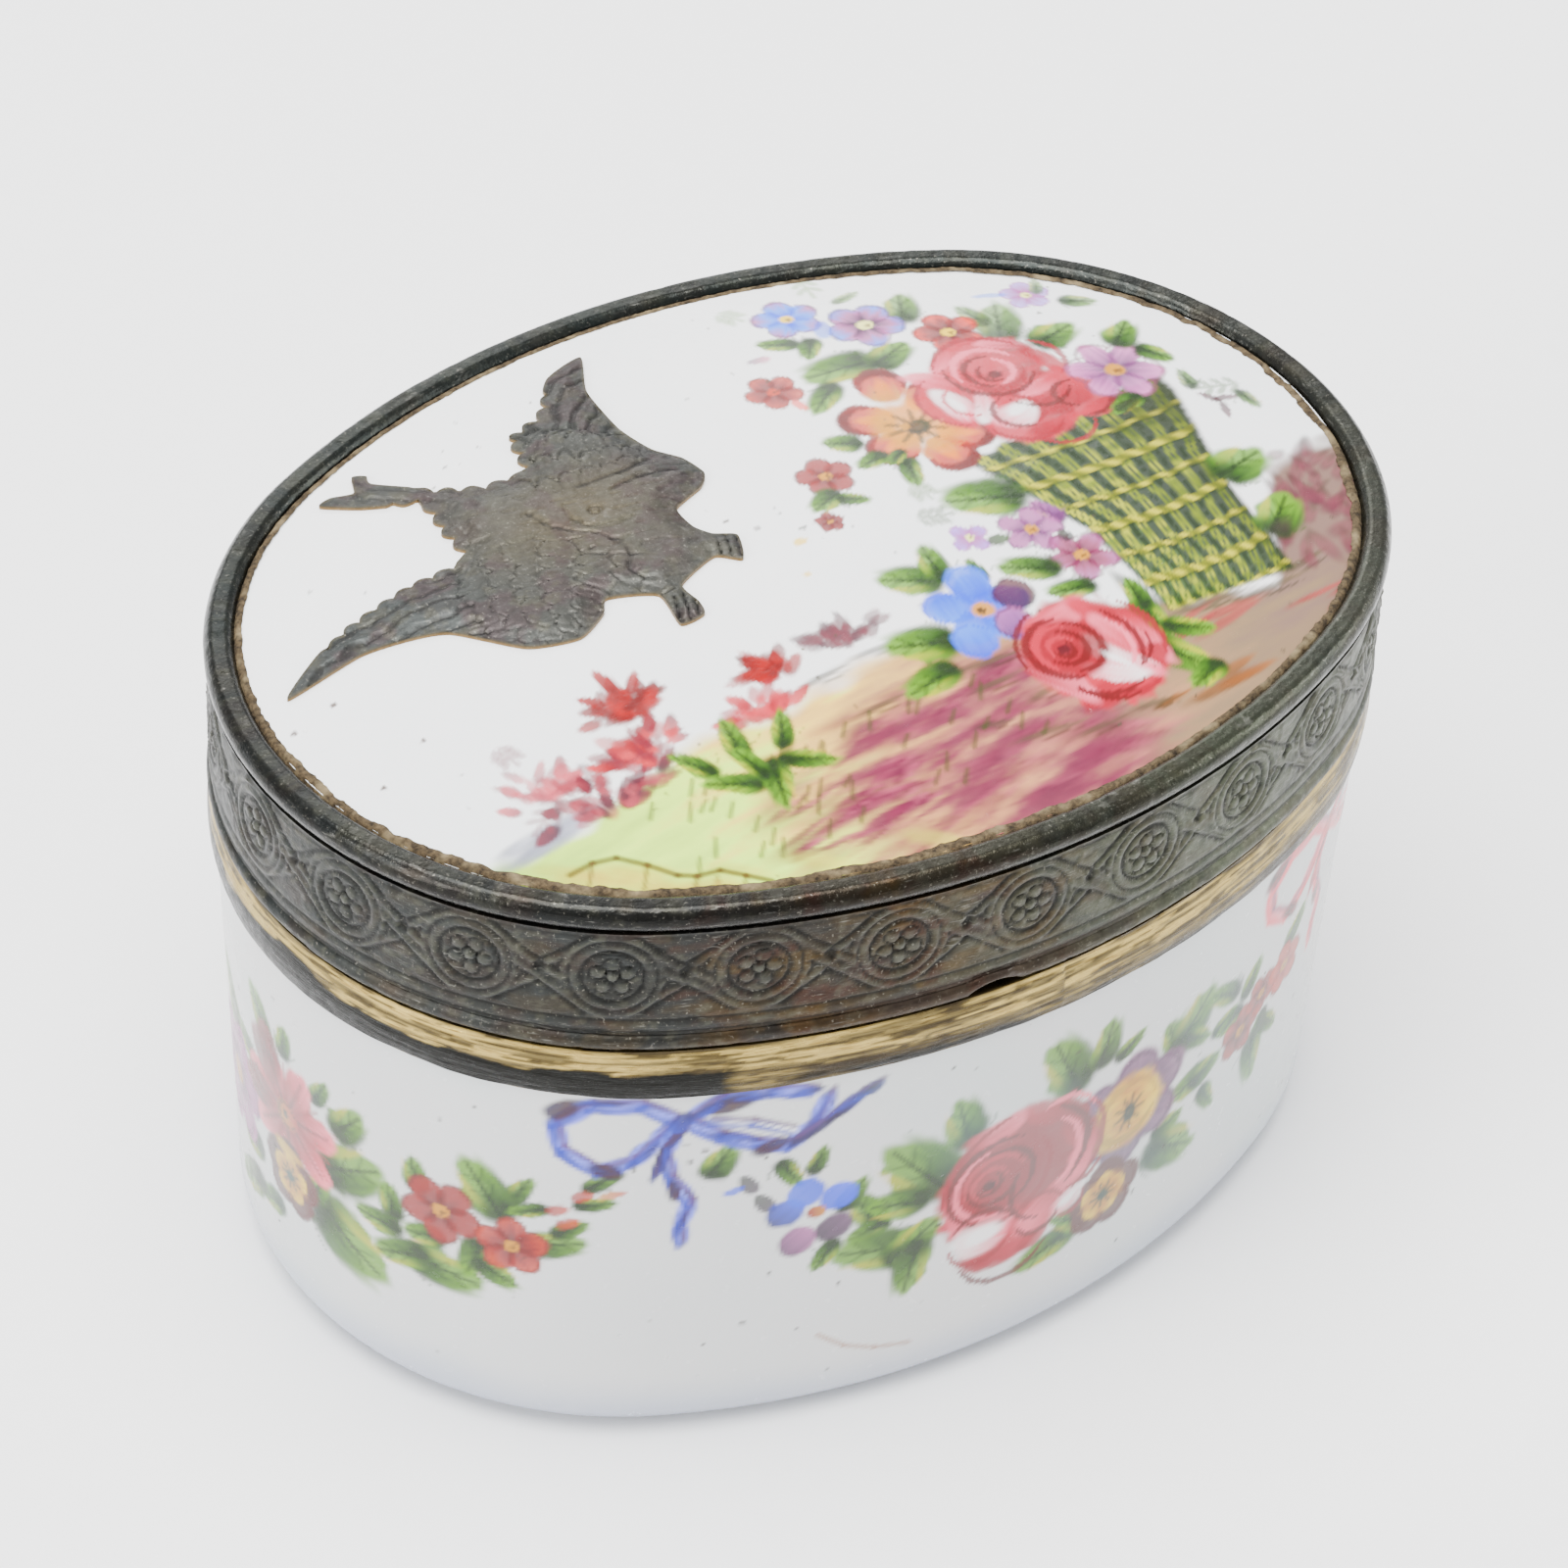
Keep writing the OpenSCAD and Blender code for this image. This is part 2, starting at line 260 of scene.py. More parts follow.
def dab(art, x, y, length, width, turn, colours, strength=0.95, tip=0.35, bend=0.0, edge=0.2, streak=0.35):
    """One brush stroke, centred on x, y: blunt where it starts, narrower at its far end."""
    art.seed += 1
    where = art.near(x, y, 0.75 * max(length, width) + 0.2)
    if not len(where):
        return
    a = math.radians(turn)
    du = art.u[where] - x
    dv = art.v[where] - y
    along = du * math.cos(a) + dv * math.sin(a)
    across = dv * math.cos(a) - du * math.sin(a)
    rough = noise(along * 2.2, across * 2.2, art.seed % 61) - 0.5
    p = along / (length / 2) + 0.16 * rough
    q = across / (width / 2) - bend * (p * p - 0.35) + 0.2 * rough
    half = np.clip(1 - tip * (p + 1) / 2, 0.15, 1)
    reach = np.sqrt(p * p + (q / half) ** 2)
    alpha = strength * (1 - smooth(reach, 1 - edge, 1 + edge))
    bristles = noise(along * 0.7 + 9, across * 7, art.seed % 53) - 0.5
    alpha = alpha * (1 - 0.35 * streak * np.maximum(bristles, 0) * smooth(p, 0, 1))
    art.lay(where, alpha, art.ramp(colours, (p + 1) / 2 + streak * bristles))


def crescent(art, x, y, r, start, end, width, colours, strength=0.9, squash=1.0):
    """A curved stroke along part of a circle, from one angle to another, thickest in its middle."""
    art.seed += 1
    edge = 0.3
    where = art.near(x, y, r + width + 0.2)
    if not len(where):
        return
    p = art.u[where] - x
    q = (art.v[where] - y) / squash
    rad = np.hypot(p, q)
    angle = np.degrees(np.arctan2(q, p))
    t = np.mod(angle - start, 360) / (end - start)
    inside = (t >= 0) & (t <= 1)
    t = np.clip(t, 0, 1)
    rough = noise(p * 2.5, q * 2.5, art.seed % 59) - 0.5
    half = width / 2 * np.sin(math.pi * t) ** 0.6 + 1e-6
    d = np.abs(rad - r + 0.2 * width * rough) / half
    alpha = strength * (1 - smooth(d, 1 - edge, 1 + edge)) * inside
    bristles = noise(rad * 7, t * 3, art.seed % 53) - 0.5
    art.lay(where, alpha, art.ramp(colours, t + 0.3 * bristles))


def line(art, points, width, colour, strength=0.85, taper=0.6):
    """A thin painted line through points, thinner towards its end."""
    points = np.array(points, float)
    pieces = len(points) - 1
    for k in range(pieces):
        (x0, y0), (x1, y1) = points[k], points[k + 1]
        length = math.hypot(x1 - x0, y1 - y0)
        where = art.near((x0 + x1) / 2, (y0 + y1) / 2, length / 2 + width)
        if not len(where) or length == 0:
            continue
        du = art.u[where] - x0
        dv = art.v[where] - y0
        t = np.clip((du * (x1 - x0) + dv * (y1 - y0)) / length ** 2, 0, 1)
        d = np.hypot(du - t * (x1 - x0), dv - t * (y1 - y0))
        half = width / 2 * (1 - taper * (k + t) / pieces)
        alpha = strength * (1 - smooth(d, half * 0.5, half + 0.12))
        art.lay(where, alpha, art.pigment(colour))


def leaf(art, x, y, length, turn, width=0.58, light=LEAF_LIGHT, mid=LEAF_MID, dark=LEAF_DARK, strength=0.95):
    """A leaf with its base at the low end of its turn: pale on one side, dark on the other, with veins."""
    length = length * art.growth
    a = math.radians(turn)
    side = (-math.sin(a), math.cos(a))
    w = 1.1 * width * length
    dab(art, x, y, length, w, turn, (mid, light, light), strength, tip=0.55, edge=0.16)
    dab(art, x - side[0] * w * 0.22, y - side[1] * w * 0.22, length * 0.86, w * 0.5, turn,
        (dark, mid, light), strength * 0.85, tip=0.5, edge=0.35)
    dab(art, x - math.cos(a) * length * 0.3, y - math.sin(a) * length * 0.3, length * 0.42, w * 0.62, turn,
        (dark, dark, mid), strength * 0.85, tip=0.2, edge=0.45)
    dab(art, x + side[0] * w * 0.24, y + side[1] * w * 0.24, length * 0.6, w * 0.22, turn + 4,
        (light, YELLOW_PALE), strength * 0.4, tip=0.5, edge=0.5)
    tip_x = x + math.cos(a) * length * 0.4
    tip_y = y + math.sin(a) * length * 0.4
    base_x = x - math.cos(a) * length * 0.45
    base_y = y - math.sin(a) * length * 0.45
    line(art, [(base_x, base_y), (x, y), (tip_x, tip_y)], 0.035 * length + 0.06, dark, strength * 0.75)
    for t in (-0.15, 0.1):
        for hand in (-1, 1):
            vx = x + math.cos(a) * length * t
            vy = y + math.sin(a) * length * t
            line(art, [(vx, vy), (vx + math.cos(a + hand * 0.7) * length * 0.22,
                                  vy + math.sin(a + hand * 0.7) * length * 0.22)], 0.08, dark,
                 strength * 0.45)
    crescent(art, x, y, length * 0.48, turn - 175, turn - 95, 0.1, (dark, mid), strength * 0.5,
             squash=w / length)


def leaves(art, rows):
    for row in rows:
        leaf(art, *row)


def petals(art, x, y, r, count, colours, width=0.8, turn=0.0, strength=0.95):
    """Petals round x, y, each stroked outwards."""
    for k in range(count):
        a = turn + 360 * k / count
        c = math.radians(a)
        reach = r * 0.55
        dab(art, x + math.cos(c) * reach, y + math.sin(c) * reach, r * 0.92, r * width, a, colours,
            strength, tip=-0.25, edge=0.14)


def blossom(art, x, y, r, count, colours, eye=YELLOW, rim=None, turn=20.0, width=0.85):
    """A flower with open petals, a darker line between them and an eye."""
    petals(art, x, y, r, count, colours, width, turn)
    rim = rim or colours[0]
    for k in range(count):
        a = turn + 360 * k / count
        c = math.radians(a)
        crescent(art, x + math.cos(c) * r * 0.55, y + math.sin(c) * r * 0.55, r * 0.42, a - 95,
                 a + 95, r * 0.11, (rim,), 0.55)
        line(art, [(x, y), (x + math.cos(c + 0.5) * r * 0.6, y + math.sin(c + 0.5) * r * 0.6)],
             0.09, colours[0], 0.5)
    dab(art, x, y, r * 0.42, r * 0.4, 0, (eye,), 0.95, tip=0)
    dab(art, x + r * 0.04, y - r * 0.04, r * 0.16, r * 0.16, 0, (BROWN,), 0.7, tip=0)


def rose(art, x, y, r):
    """A cabbage rose from the side: a spiral heart at the upper left, with petals that fold away."""
    dab(art, x, y, 2 * r, 1.95 * r, 20, (PINK, PINK, ROSE), 0.97, tip=0, edge=0.08)
    for px, py, length, width, turn, tones in (
            (-0.1, 0.75, 1.2, 0.5, 10, (PINK, PINK_PALE)), (0.55, 0.5, 1.1, 0.5, -50, (PINK, ROSE)),
            (0.75, -0.1, 1.1, 0.45, -85, (PINK, PINK_PALE)), (0.45, -0.6, 1.1, 0.45, -140, (ROSE, PINK)),
            (-0.2, -0.75, 1.1, 0.45, 185, (PINK, ROSE)), (-0.72, -0.3, 1.1, 0.42, 120, (PINK_PALE, ROSE)),
            (0.25, -0.25, 1.2, 0.42, -60, (WHITE, PINK_PALE)), (0.42, 0.1, 1.0, 0.4, -75, (PINK_PALE, PINK)),
            (0.0, -0.45, 0.9, 0.34, -35, (PINK_PALE, WHITE))):
        dab(art, x + px * r, y + py * r, length * r, width * r, turn, tones, 0.9, tip=0.15, bend=0.35,
            edge=0.2)
    dab(art, x - 0.3 * r, y + 0.2 * r, 1.15 * r, 1.05 * r, 0, (ROSE, ROSE), 0.92, tip=0, edge=0.15)
    for px, py, radius, start, sweep, width, tone in (
            (-0.3, 0.2, 0.56, 70, 200, 0.14, CRIMSON), (-0.28, 0.2, 0.46, 250, 180, 0.12, CRIMSON),
            (-0.32, 0.2, 0.42, 60, 170, 0.12, PINK), (-0.34, 0.22, 0.3, 200, 240, 0.12, CRIMSON),
            (-0.36, 0.22, 0.2, 20, 190, 0.09, PINK), (-0.36, 0.2, 0.14, 160, 260, 0.09, CRIMSON),
            (-0.1, 0.1, 0.78, -50, 90, 0.1, CRIMSON), (-0.1, 0.1, 0.66, -60, 90, 0.08, PINK_PALE),
            (-0.05, -0.1, 0.7, 210, 90, 0.1, CRIMSON), (0.1, 0.1, 0.92, -40, 80, 0.09, ROSE),
            (0.1, -0.05, 0.85, 240, 60, 0.1, ROSE), (-0.1, 0.1, 0.92, 100, 80, 0.08, CRIMSON),
            (0.3, 0.0, 0.5, -80, 90, 0.07, CRIMSON), (0.0, -0.3, 0.62, 190, 90, 0.09, CRIMSON)):
        crescent(art, x + px * r, y + py * r, r * radius, start, start + sweep, r * width, (tone, tone), 0.85)
    dab(art, x - 0.36 * r, y + 0.2 * r, 0.2 * r, 0.18 * r, 0, (MAROON,), 0.8, tip=0)
    dab(art, x + 0.2 * r, y - 0.3 * r, 0.5 * r, 0.14 * r, -60, (WHITE,), 0.75, edge=0.5)


def pansy(art, x, y, r, outer, inner, turn=0.0):
    """Broad petals with a differently coloured inside and dark whiskers."""
    petals(art, x, y, r, 5, (inner, outer, outer), 1.0, turn)
    for k in range(5):
        a = turn + 72 * k
        c = math.radians(a)
        crescent(art, x + math.cos(c) * r * 0.5, y + math.sin(c) * r * 0.5, r * 0.46, a - 100, a + 100,
                 r * 0.16, (outer,), 0.7)
    petals(art, x, y, r * 0.62, 5, (inner, inner, YELLOW_PALE), 0.9, turn, strength=0.9)
    for k in range(9):
        c = math.radians(turn + 40 * k + 12)
        line(art, [(x + math.cos(c) * r * 0.08, y + math.sin(c) * r * 0.08),
                   (x + math.cos(c) * r * 0.34, y + math.sin(c) * r * 0.34)], 0.11, OLIVE, 0.8)
    dab(art, x, y, r * 0.3, r * 0.26, 20, (BLACK, OLIVE), 0.9, tip=0)


def ribbon(art, points, width, colours):
    """A painted ribbon through points, with a fine darker line along each edge."""
    points = np.array(points, float)
    for (x0, y0), (x1, y1) in zip(points[:-1], points[1:]):
        length = math.hypot(x1 - x0, y1 - y0)
        turn = math.degrees(math.atan2(y1 - y0, x1 - x0))
        dab(art, (x0 + x1) / 2, (y0 + y1) / 2, length * 1.35, width, turn, colours, 0.92, tip=0.1, edge=0.25,
            streak=0.9)
    for edge, colour in ((0.3, VIOLET), (-0.3, colours[0])):
        line(art, points + (edge * width * 0.5, edge * width), 0.26, colour, 0.6, taper=0.2)


# ---------------------------------------------------------------- the lid's picture


def basket(art):
    """Wicker basket: upright stakes with dark gaps, crossed by twisted rails."""
    rows_y = [-10.4, -5.0, 1.2]
    left = [10.2, 10.1, 8.2]
    right = [16.3, 17.0, 18.8]
    u, v = art.u, art.v
    x0 = np.interp(v, rows_y, left)
    x1 = np.interp(v, rows_y, right)
    h = (u - x0) / (x1 - x0)
    top = 0.75 + 1.4 * h + 0.12 * np.sin(h * 40)
    inside = smooth(h, -0.03, 0.02) * (1 - smooth(h, 0.98, 1.03))
    inside *= smooth(v, -10.5, -10.2) * (1 - smooth(v, top, top + 0.3))
    where = np.nonzero(inside > 0)[0]
    h, y, cover = h[where], v[where], inside[where]
    weave = noise(h * 30, y * 5, 31)
    shade = 0.05 + 0.45 * (1 - h) + 0.3 * smooth(-y, 4, 10) + 0.5 * (weave - 0.5)
    art.lay(where, 0.97 * cover, art.ramp((LEAF_DARK, (70, 96, 40), (128, 158, 74)), shade))
    stakes = 8
    wave = h * stakes + 0.1 * np.sin(y * 1.7) + 0.1 * (noise(y * 1.1, h * 4, 33) - 0.5)
    gap = wave - np.floor(wave)
    lit = 0.25 + 0.5 * (1 - h) + 0.7 * (noise(wave * 2, y * 3, 35) - 0.5)
    lime = art.ramp(((128, 144, 40), (184, 190, 76), (214, 214, 120)), lit)
    for at in (0.34, 0.6):
        stake = 1 - smooth(np.abs(gap - at), 0.05, 0.13)
        art.lay(where, 0.85 * cover * stake, lime)
    hollow = smooth(np.abs(gap - 0.47), 0.3, 0.42)
    art.lay(where, 0.75 * cover * hollow * smooth(weave, 0.2, 0.6), art.pigment((44, 60, 30)))
    rails = 7
    lowest_rail = -10.1
    rail_pitch = 1.72
    for k in range(rails):
        rail = lowest_rail + rail_pitch * k
        d = y - rail + 0.3 * np.sin(h * math.pi) - 0.3 * (h - 0.5) + 0.06 * np.sin(h * 31 + k)
        thick = 0.14 if k % 2 else 0.06
        band = 1 - smooth(np.abs(d), thick, thick + 0.12)
        art.lay(where, 0.6 * cover * (1 - smooth(np.abs(d + thick + 0.1), 0.05, 0.2)),
                art.pigment((52, 74, 34)))
        twist = 0.5 + 0.35 * np.sin(h * 46 + k * 2 + d * 5)
        art.lay(where, 0.9 * cover * band, art.ramp(((124, 134, 38), (190, 190, 78), (222, 220, 134)), twist))
    art.lay(where, cover * smooth(h, 0.8, 1.0) * 0.35, art.pigment(OLIVE))
    art.lay(where, cover * smooth(h, 0.45, 0.8) * smooth(y, -2.0, 0.5) * 0.45, art.pigment((70, 80, 34)))


def ground(art):
    """The bank that the flowers lie on, in level strokes, with a grey edge and crimson grass."""
    rng = np.random.default_rng(5)
    edge_x = [-24, -20, -15, -10, -5, 0, 5, 10, 15, 17.2, 19, 24]
    edge_y = [-9.2, -8.8, -8.4, -7.2, -7.2, -6.7, -7.6, -9.2, -10.2, -7.6, -4.4, -3.6]
    u, v = art.u, art.v
    depth = np.interp(u, edge_x, edge_y) - v + 0.8 * (noise(u * 0.8, v * 1.5, 41) - 0.5)
    body = smooth(depth, 0, 1.0)
    where = np.nonzero(body > 0)[0]
    gx, gy = u[where], v[where]
    streaks = fbm(gx * 0.35 + gy * 0.2, gy * 1.8 - gx * 0.2, 43)
    t = np.clip((gx + 18) / 36 + 0.35 * (streaks - 0.5), 0, 1)
    tone = art.ramp(((214, 222, 120), (222, 228, 138), (226, 218, 150), (210, 192, 140), (194, 172, 116),
                     (176, 154, 96), (164, 130, 104)), t)
    art.lay(where, 0.92 * body[where], tone)
    for _ in range(16):
        x = rng.uniform(-20, -16)
        dab(art, x, np.interp(x, edge_x, edge_y) - 0.1 + rng.uniform(-0.5, 0.3), rng.uniform(1.5, 3), 0.6, 8,
            ((176, 178, 184), (210, 210, 214)), 0.5, edge=0.5)
    wash_x = np.interp(gy, [-17, -13, -11, -9], [-9.5, -8.0, -6.5, -2.0])
    wash = smooth(gx + 2.5 * (streaks - 0.5), wash_x - 0.8, wash_x + 1.6)
    wash *= 1 - smooth(gx + 4 * (streaks - 0.5), 3.5, 8.0)
    wash = wash * smooth(-gy + 1.2 * (streaks - 0.5), 8.4, 10.2)
    art.lay(where, wash * (0.45 + 0.5 * smooth(streaks, 0.3, 0.65)) * body[where],
            art.ramp(((218, 176, 186), (188, 124, 152), (160, 92, 126)), 1.6 * streaks - 0.25))
    crimson = ((182, 108, 142), (156, 80, 116), (208, 156, 176))
    for _ in range(150):
        x = rng.uniform(-9.5, 6.0)
        y = rng.uniform(-16.6, -9.0)
        if (x < -5 and y > -11) or (x > 4 and y > -12):
            continue
        dab(art, x, y, rng.uniform(1.6, 4.6), rng.uniform(0.35, 1.0), rng.uniform(-12, 16), crimson,
            rng.uniform(0.15, 0.5), tip=0.6, edge=0.7, streak=0.9)
    for _ in range(26):
        x = rng.uniform(-9.5, -4)
        y = rng.uniform(-15, -12.2)
        dab(art, x, y, rng.uniform(1.2, 2.6), 0.4, rng.uniform(-8, 12), crimson, 0.7, tip=0.6, edge=0.4,
            streak=0.9)
    for _ in range(22):
        x = rng.uniform(7, 20)
        y = rng.uniform(-15.2, -10.4)
        tones = ((190, 110, 120), (206, 150, 146)) if y > -13.0 and x > 9 else ((160, 122, 66),
                                                                                (196, 160, 104))
        dab(art, x, y, rng.uniform(1.5, 4), rng.uniform(0.3, 0.7), rng.uniform(4, 20), tones,
            0.75, tip=0.5, edge=0.4, streak=0.8)
    for x, y, length, turn in ((2, -13.7, 3.2, -4), (4, -14.4, 3, 2), (-3, -9.5, 2.6, 4), (2, -9.5, 3, -3),
                               (3, -11.9, 1.8, 10),
                               (0.2, -12.4, 1.6, -12), (6.6, -14.3, 2, -4), (-1, -6.9, 3.2, -2),
                               (-4, -7.1, 2.4, 6),
                               (1.6, -10.6, 2.4, 3), (12, -10.6, 4, 0), (14.8, -10.9, 3.6, 5),
                               (17, -10.2, 2.6, 12)):
        dab(art, x, y, length, 0.42, turn, ((84, 84, 66), (140, 130, 106)), 0.7, tip=0.5, edge=0.45,
            streak=0.9)
        dab(art, x + 0.3, y - 0.3, length * 0.6, 0.2, turn, (LEAF_DARK,), 0.55, tip=0.5, edge=0.4)
    for _ in range(46):
        x = rng.uniform(-14, 2)
        y = rng.uniform(-14.6, -9.8)
        line(art, [(x, y), (x + 0.5, y + rng.uniform(0.35, 0.8))], 0.14, (96, 112, 60), 0.6)
    for _ in range(60):
        x = rng.uniform(16.6, 22)
        y = rng.uniform(-10.6, -3.8)
        if y > np.interp(x, edge_x, edge_y):
            continue
        dab(art, x, y, rng.uniform(0.9, 2.2), rng.uniform(0.5, 0.9), rng.uniform(10, 100),
            ((140, 84, 104), (176, 124, 138), (96, 84, 70)), 0.6, edge=0.4)
    for x, y in ((-20.5, -9.6), (-18, -10.6), (-15.2, -12.2), (-12.4, -13.9), (-9.4, -15.1), (-5, -16.2)):
        dab(art, x, y, 2.6, 0.8, -38, ((206, 204, 132), (222, 220, 160)), 0.5, edge=0.6)


def shrub(art, x, y, r, colours, count, seed, spread=1.0):
    """A bush of short strokes that fan out from its foot, the darker ones laid first."""
    rng = np.random.default_rng(seed)
    for k in range(count):
        a = rng.uniform(10, 170)
        d = r * (0.25 + 1.15 * (k + rng.random()) / count)
        c = math.radians(a)
        dab(art, x + d * math.cos(c) * spread, y - 0.6 * r + d * math.sin(c), rng.uniform(0.8, 1.4),
            rng.uniform(0.5, 0.85),
            a + rng.uniform(-35, 35), (colours[k % len(colours)], colours[(k + 1) % len(colours)]),
            rng.uniform(0.6, 0.95), edge=0.25)


def sprig(art, x, y, length, turn, colour, strength=0.5):
    """Faint twig with a few small leaves."""
    a = math.radians(turn)
    end = (x + length * math.cos(a), y + length * math.sin(a))
    line(art, [(x, y), end], 0.14, colour, strength)
    for k in (0.35, 0.65, 0.95):
        for hand in (-1, 1):
            dab(art, x + length * k * math.cos(a) + hand * 0.3 * math.sin(a),
                y + length * k * math.sin(a) - hand * 0.3 * math.cos(a),
                0.7, 0.36, turn + hand * 45, (colour,), strength, edge=0.4)


FAINT_LEAF = dict(light=(200, 212, 170), mid=(168, 188, 140), dark=(120, 142, 104))


def bushes(art):
    """Bushes on the horizon."""
    dusky = ((176, 96, 116), (208, 150, 160), (120, 84, 96))
    shrub(art, -16.4, -6.4, 1.4, ((190, 124, 140), (222, 180, 186)), 20, 11, 1.0)
    shrub(art, -14.6, -8.0, 1.9, dusky, 42, 12, 1.3)
    shrub(art, -12.2, -6.6, 1.5, ((192, 84, 100), (220, 150, 154), dusky[0]), 34, 13, 1.0)
    shrub(art, -11.6, -4.4, 1.3, ((176, 44, 22), (206, 74, 36), (160, 30, 20)), 34, 14, 0.95)
    dab(art, -11.5, -3.0, 1.5, 0.7, 92, ((170, 36, 18), (204, 70, 34)), 0.95)
    dab(art, -10.6, -3.6, 1.3, 0.6, 50, ((170, 36, 18), (204, 70, 34)), 0.95)
    dab(art, -12.5, -3.7, 1.2, 0.6, 130, ((170, 36, 18), (204, 70, 34)), 0.95)
    shrub(art, -5.8, -5.6, 1.0, ((186, 52, 40), (206, 84, 76), (160, 30, 34)), 26, 15)
    shrub(art, -7.2, -7.2, 1.0, ((196, 88, 108), (220, 150, 160)), 22, 16, 1.3)
    shrub(art, -2.2, -5.4, 0.9, ((176, 124, 136), (140, 112, 120)), 22, 17, 1.7)
    sprig(art, -16.6, -5.0, 1.0, 105, (190, 150, 158), 0.55)
    sprig(art, -18, -8.4, 1.8, 30, (186, 130, 142), 0.5)


def bank_plant(art):
    """Green plant on the bank."""
    leaves(art, [(-11.0, -8.6, 1.7, 120, 0.5), (-9.0, -8.2, 1.9, 80, 0.5), (-7.1, -8.7, 1.7, 60, 0.5),
                 (-10.2, -10.2, 2.0, 150, 0.5), (-8.7, -11.0, 2.2, 250, 0.5), (-7.0, -10.5, 1.9, 330, 0.5),
                 (-9.1, -9.6, 1.6, 100, 0.55)])


def top_leaves(art):
    """Leaves round the flowers at the top."""
    sprig(art, 9.8, 14.2, 1.8, 80, (190, 204, 166), 0.55)
    sprig(art, 6.2, 14.2, 1.0, 120, (190, 204, 166), 0.5)
    leaf(art, 10.9, 13.5, 1.2, 10, 0.45, strength=0.6, **FAINT_LEAF)
    leaf(art, 12.4, 11.6, 2.0, 60, 0.75, strength=0.85)
    leaf(art, 6.3, 11.8, 1.5, 150, 0.6)
    leaf(art, 7.3, 10.8, 1.4, 230, 0.7)
    leaf(art, 7.4, 8.9, 2.8, 175, 0.72)
    leaf(art, 9.9, 8.8, 2.0, 20, 0.8)
    leaf(art, 5.7, 7.4, 2.0, 215, 0.6)
    leaf(art, 15.3, 8.7, 2.6, 60, 0.75, strength=0.8)
    leaf(art, 16.8, 6.8, 2.1, 15, 0.8)
    leaf(art, 14.6, 9.6, 1.6, 100, 0.6, strength=0.7)


def blue_flowers(art):
    """Blue and lilac flowers over the basket."""
    blossom(art, 7.8, 13.3, 1.5, 5, (BLUE, BLUE_PALE, LILAC), YELLOW_PALE, VIOLET, 10)
    blossom(art, 10.3, 11.2, 1.7, 5, (PLUM, LILAC, BLUE_PALE), CREAM, VIOLET, 40)
    dab(art, 8.6, 11.8, 1.4, 0.9, 60, (BLUE_PALE, BLUE), 0.7)
    dab(art, 5.0, 11.2, 1.0, 0.6, 170, ((224, 190, 206), VIOLET), 0.7)
    blossom(art, 17.6, 9.9, 1.1, 5, (LILAC, (222, 216, 236)), CREAM, LILAC, 0)
    dab(art, 16.2, 10.6, 1.6, 0.4, 160, (BLUE_PALE,), 0.6)
    leaf(art, 19.3, 8.5, 1.3, 330, 0.7, strength=0.75)
    leaf(art, 18.4, 10.3, 1.0, 60, 0.6, strength=0.6, **FAINT_LEAF)


def orange_flowers(art):
    """Small orange flowers among the leaves."""
    blossom(art, 4.2, 8.9, 1.25, 5, (RUST, ORANGE, ORANGE_PALE), ORANGE_PALE, RUST, 30)
    dab(art, 4.6, 7.5, 0.9, 0.6, 280, ((230, 140, 110), (240, 180, 160)), 0.8)
    blossom(art, 13.0, 9.0, 1.5, 5, (RUST, ORANGE, (232, 150, 110)), YELLOW_PALE, RUST, 15)


def lid_pansy(art):
    """The orange pansy left of the rose."""
    for x, y, turn in ((6.3, 5.2, 150), (8.2, 7.0, 70), (9.6, 5.4, 20), (6.2, 3.1, 200), (8.0, 1.7, 280),
                       (9.4, 2.6, 330)):
        dab(art, x, y, 2.5, 2.1, turn, (YELLOW, ORANGE_PALE, ORANGE), 0.95, tip=-0.2, edge=0.12)
        c = math.radians(turn)
        crescent(art, x, y, 0.98, turn - 110, turn + 110, 0.55, (ORANGE, RUST, RUST, ORANGE), 0.92)
        dab(art, x - 0.3 * math.cos(c), y - 0.3 * math.sin(c), 1.5, 0.9, turn, (YELLOW, (240, 206, 110)),
            0.8, edge=0.4)
    dab(art, 7.8, 4.2, 3.3, 3.0, 10, (YELLOW, (236, 210, 110)), 0.92, tip=0, edge=0.3)
    for k in range(10):
        c = math.radians(36 * k)
        line(art, [(7.8 + 0.45 * math.cos(c), 3.9 + 0.4 * math.sin(c)),
                   (7.8 + 1.25 * math.cos(c), 3.9 + 1.1 * math.sin(c))],
             0.2, OLIVE, 0.75)
    dab(art, 7.9, 3.8, 1.1, 0.9, 20, (BLACK, OLIVE), 0.9, tip=0)
    dab(art, 7.4, 4.1, 0.5, 0.4, 20, (YELLOW,), 0.8, tip=0)


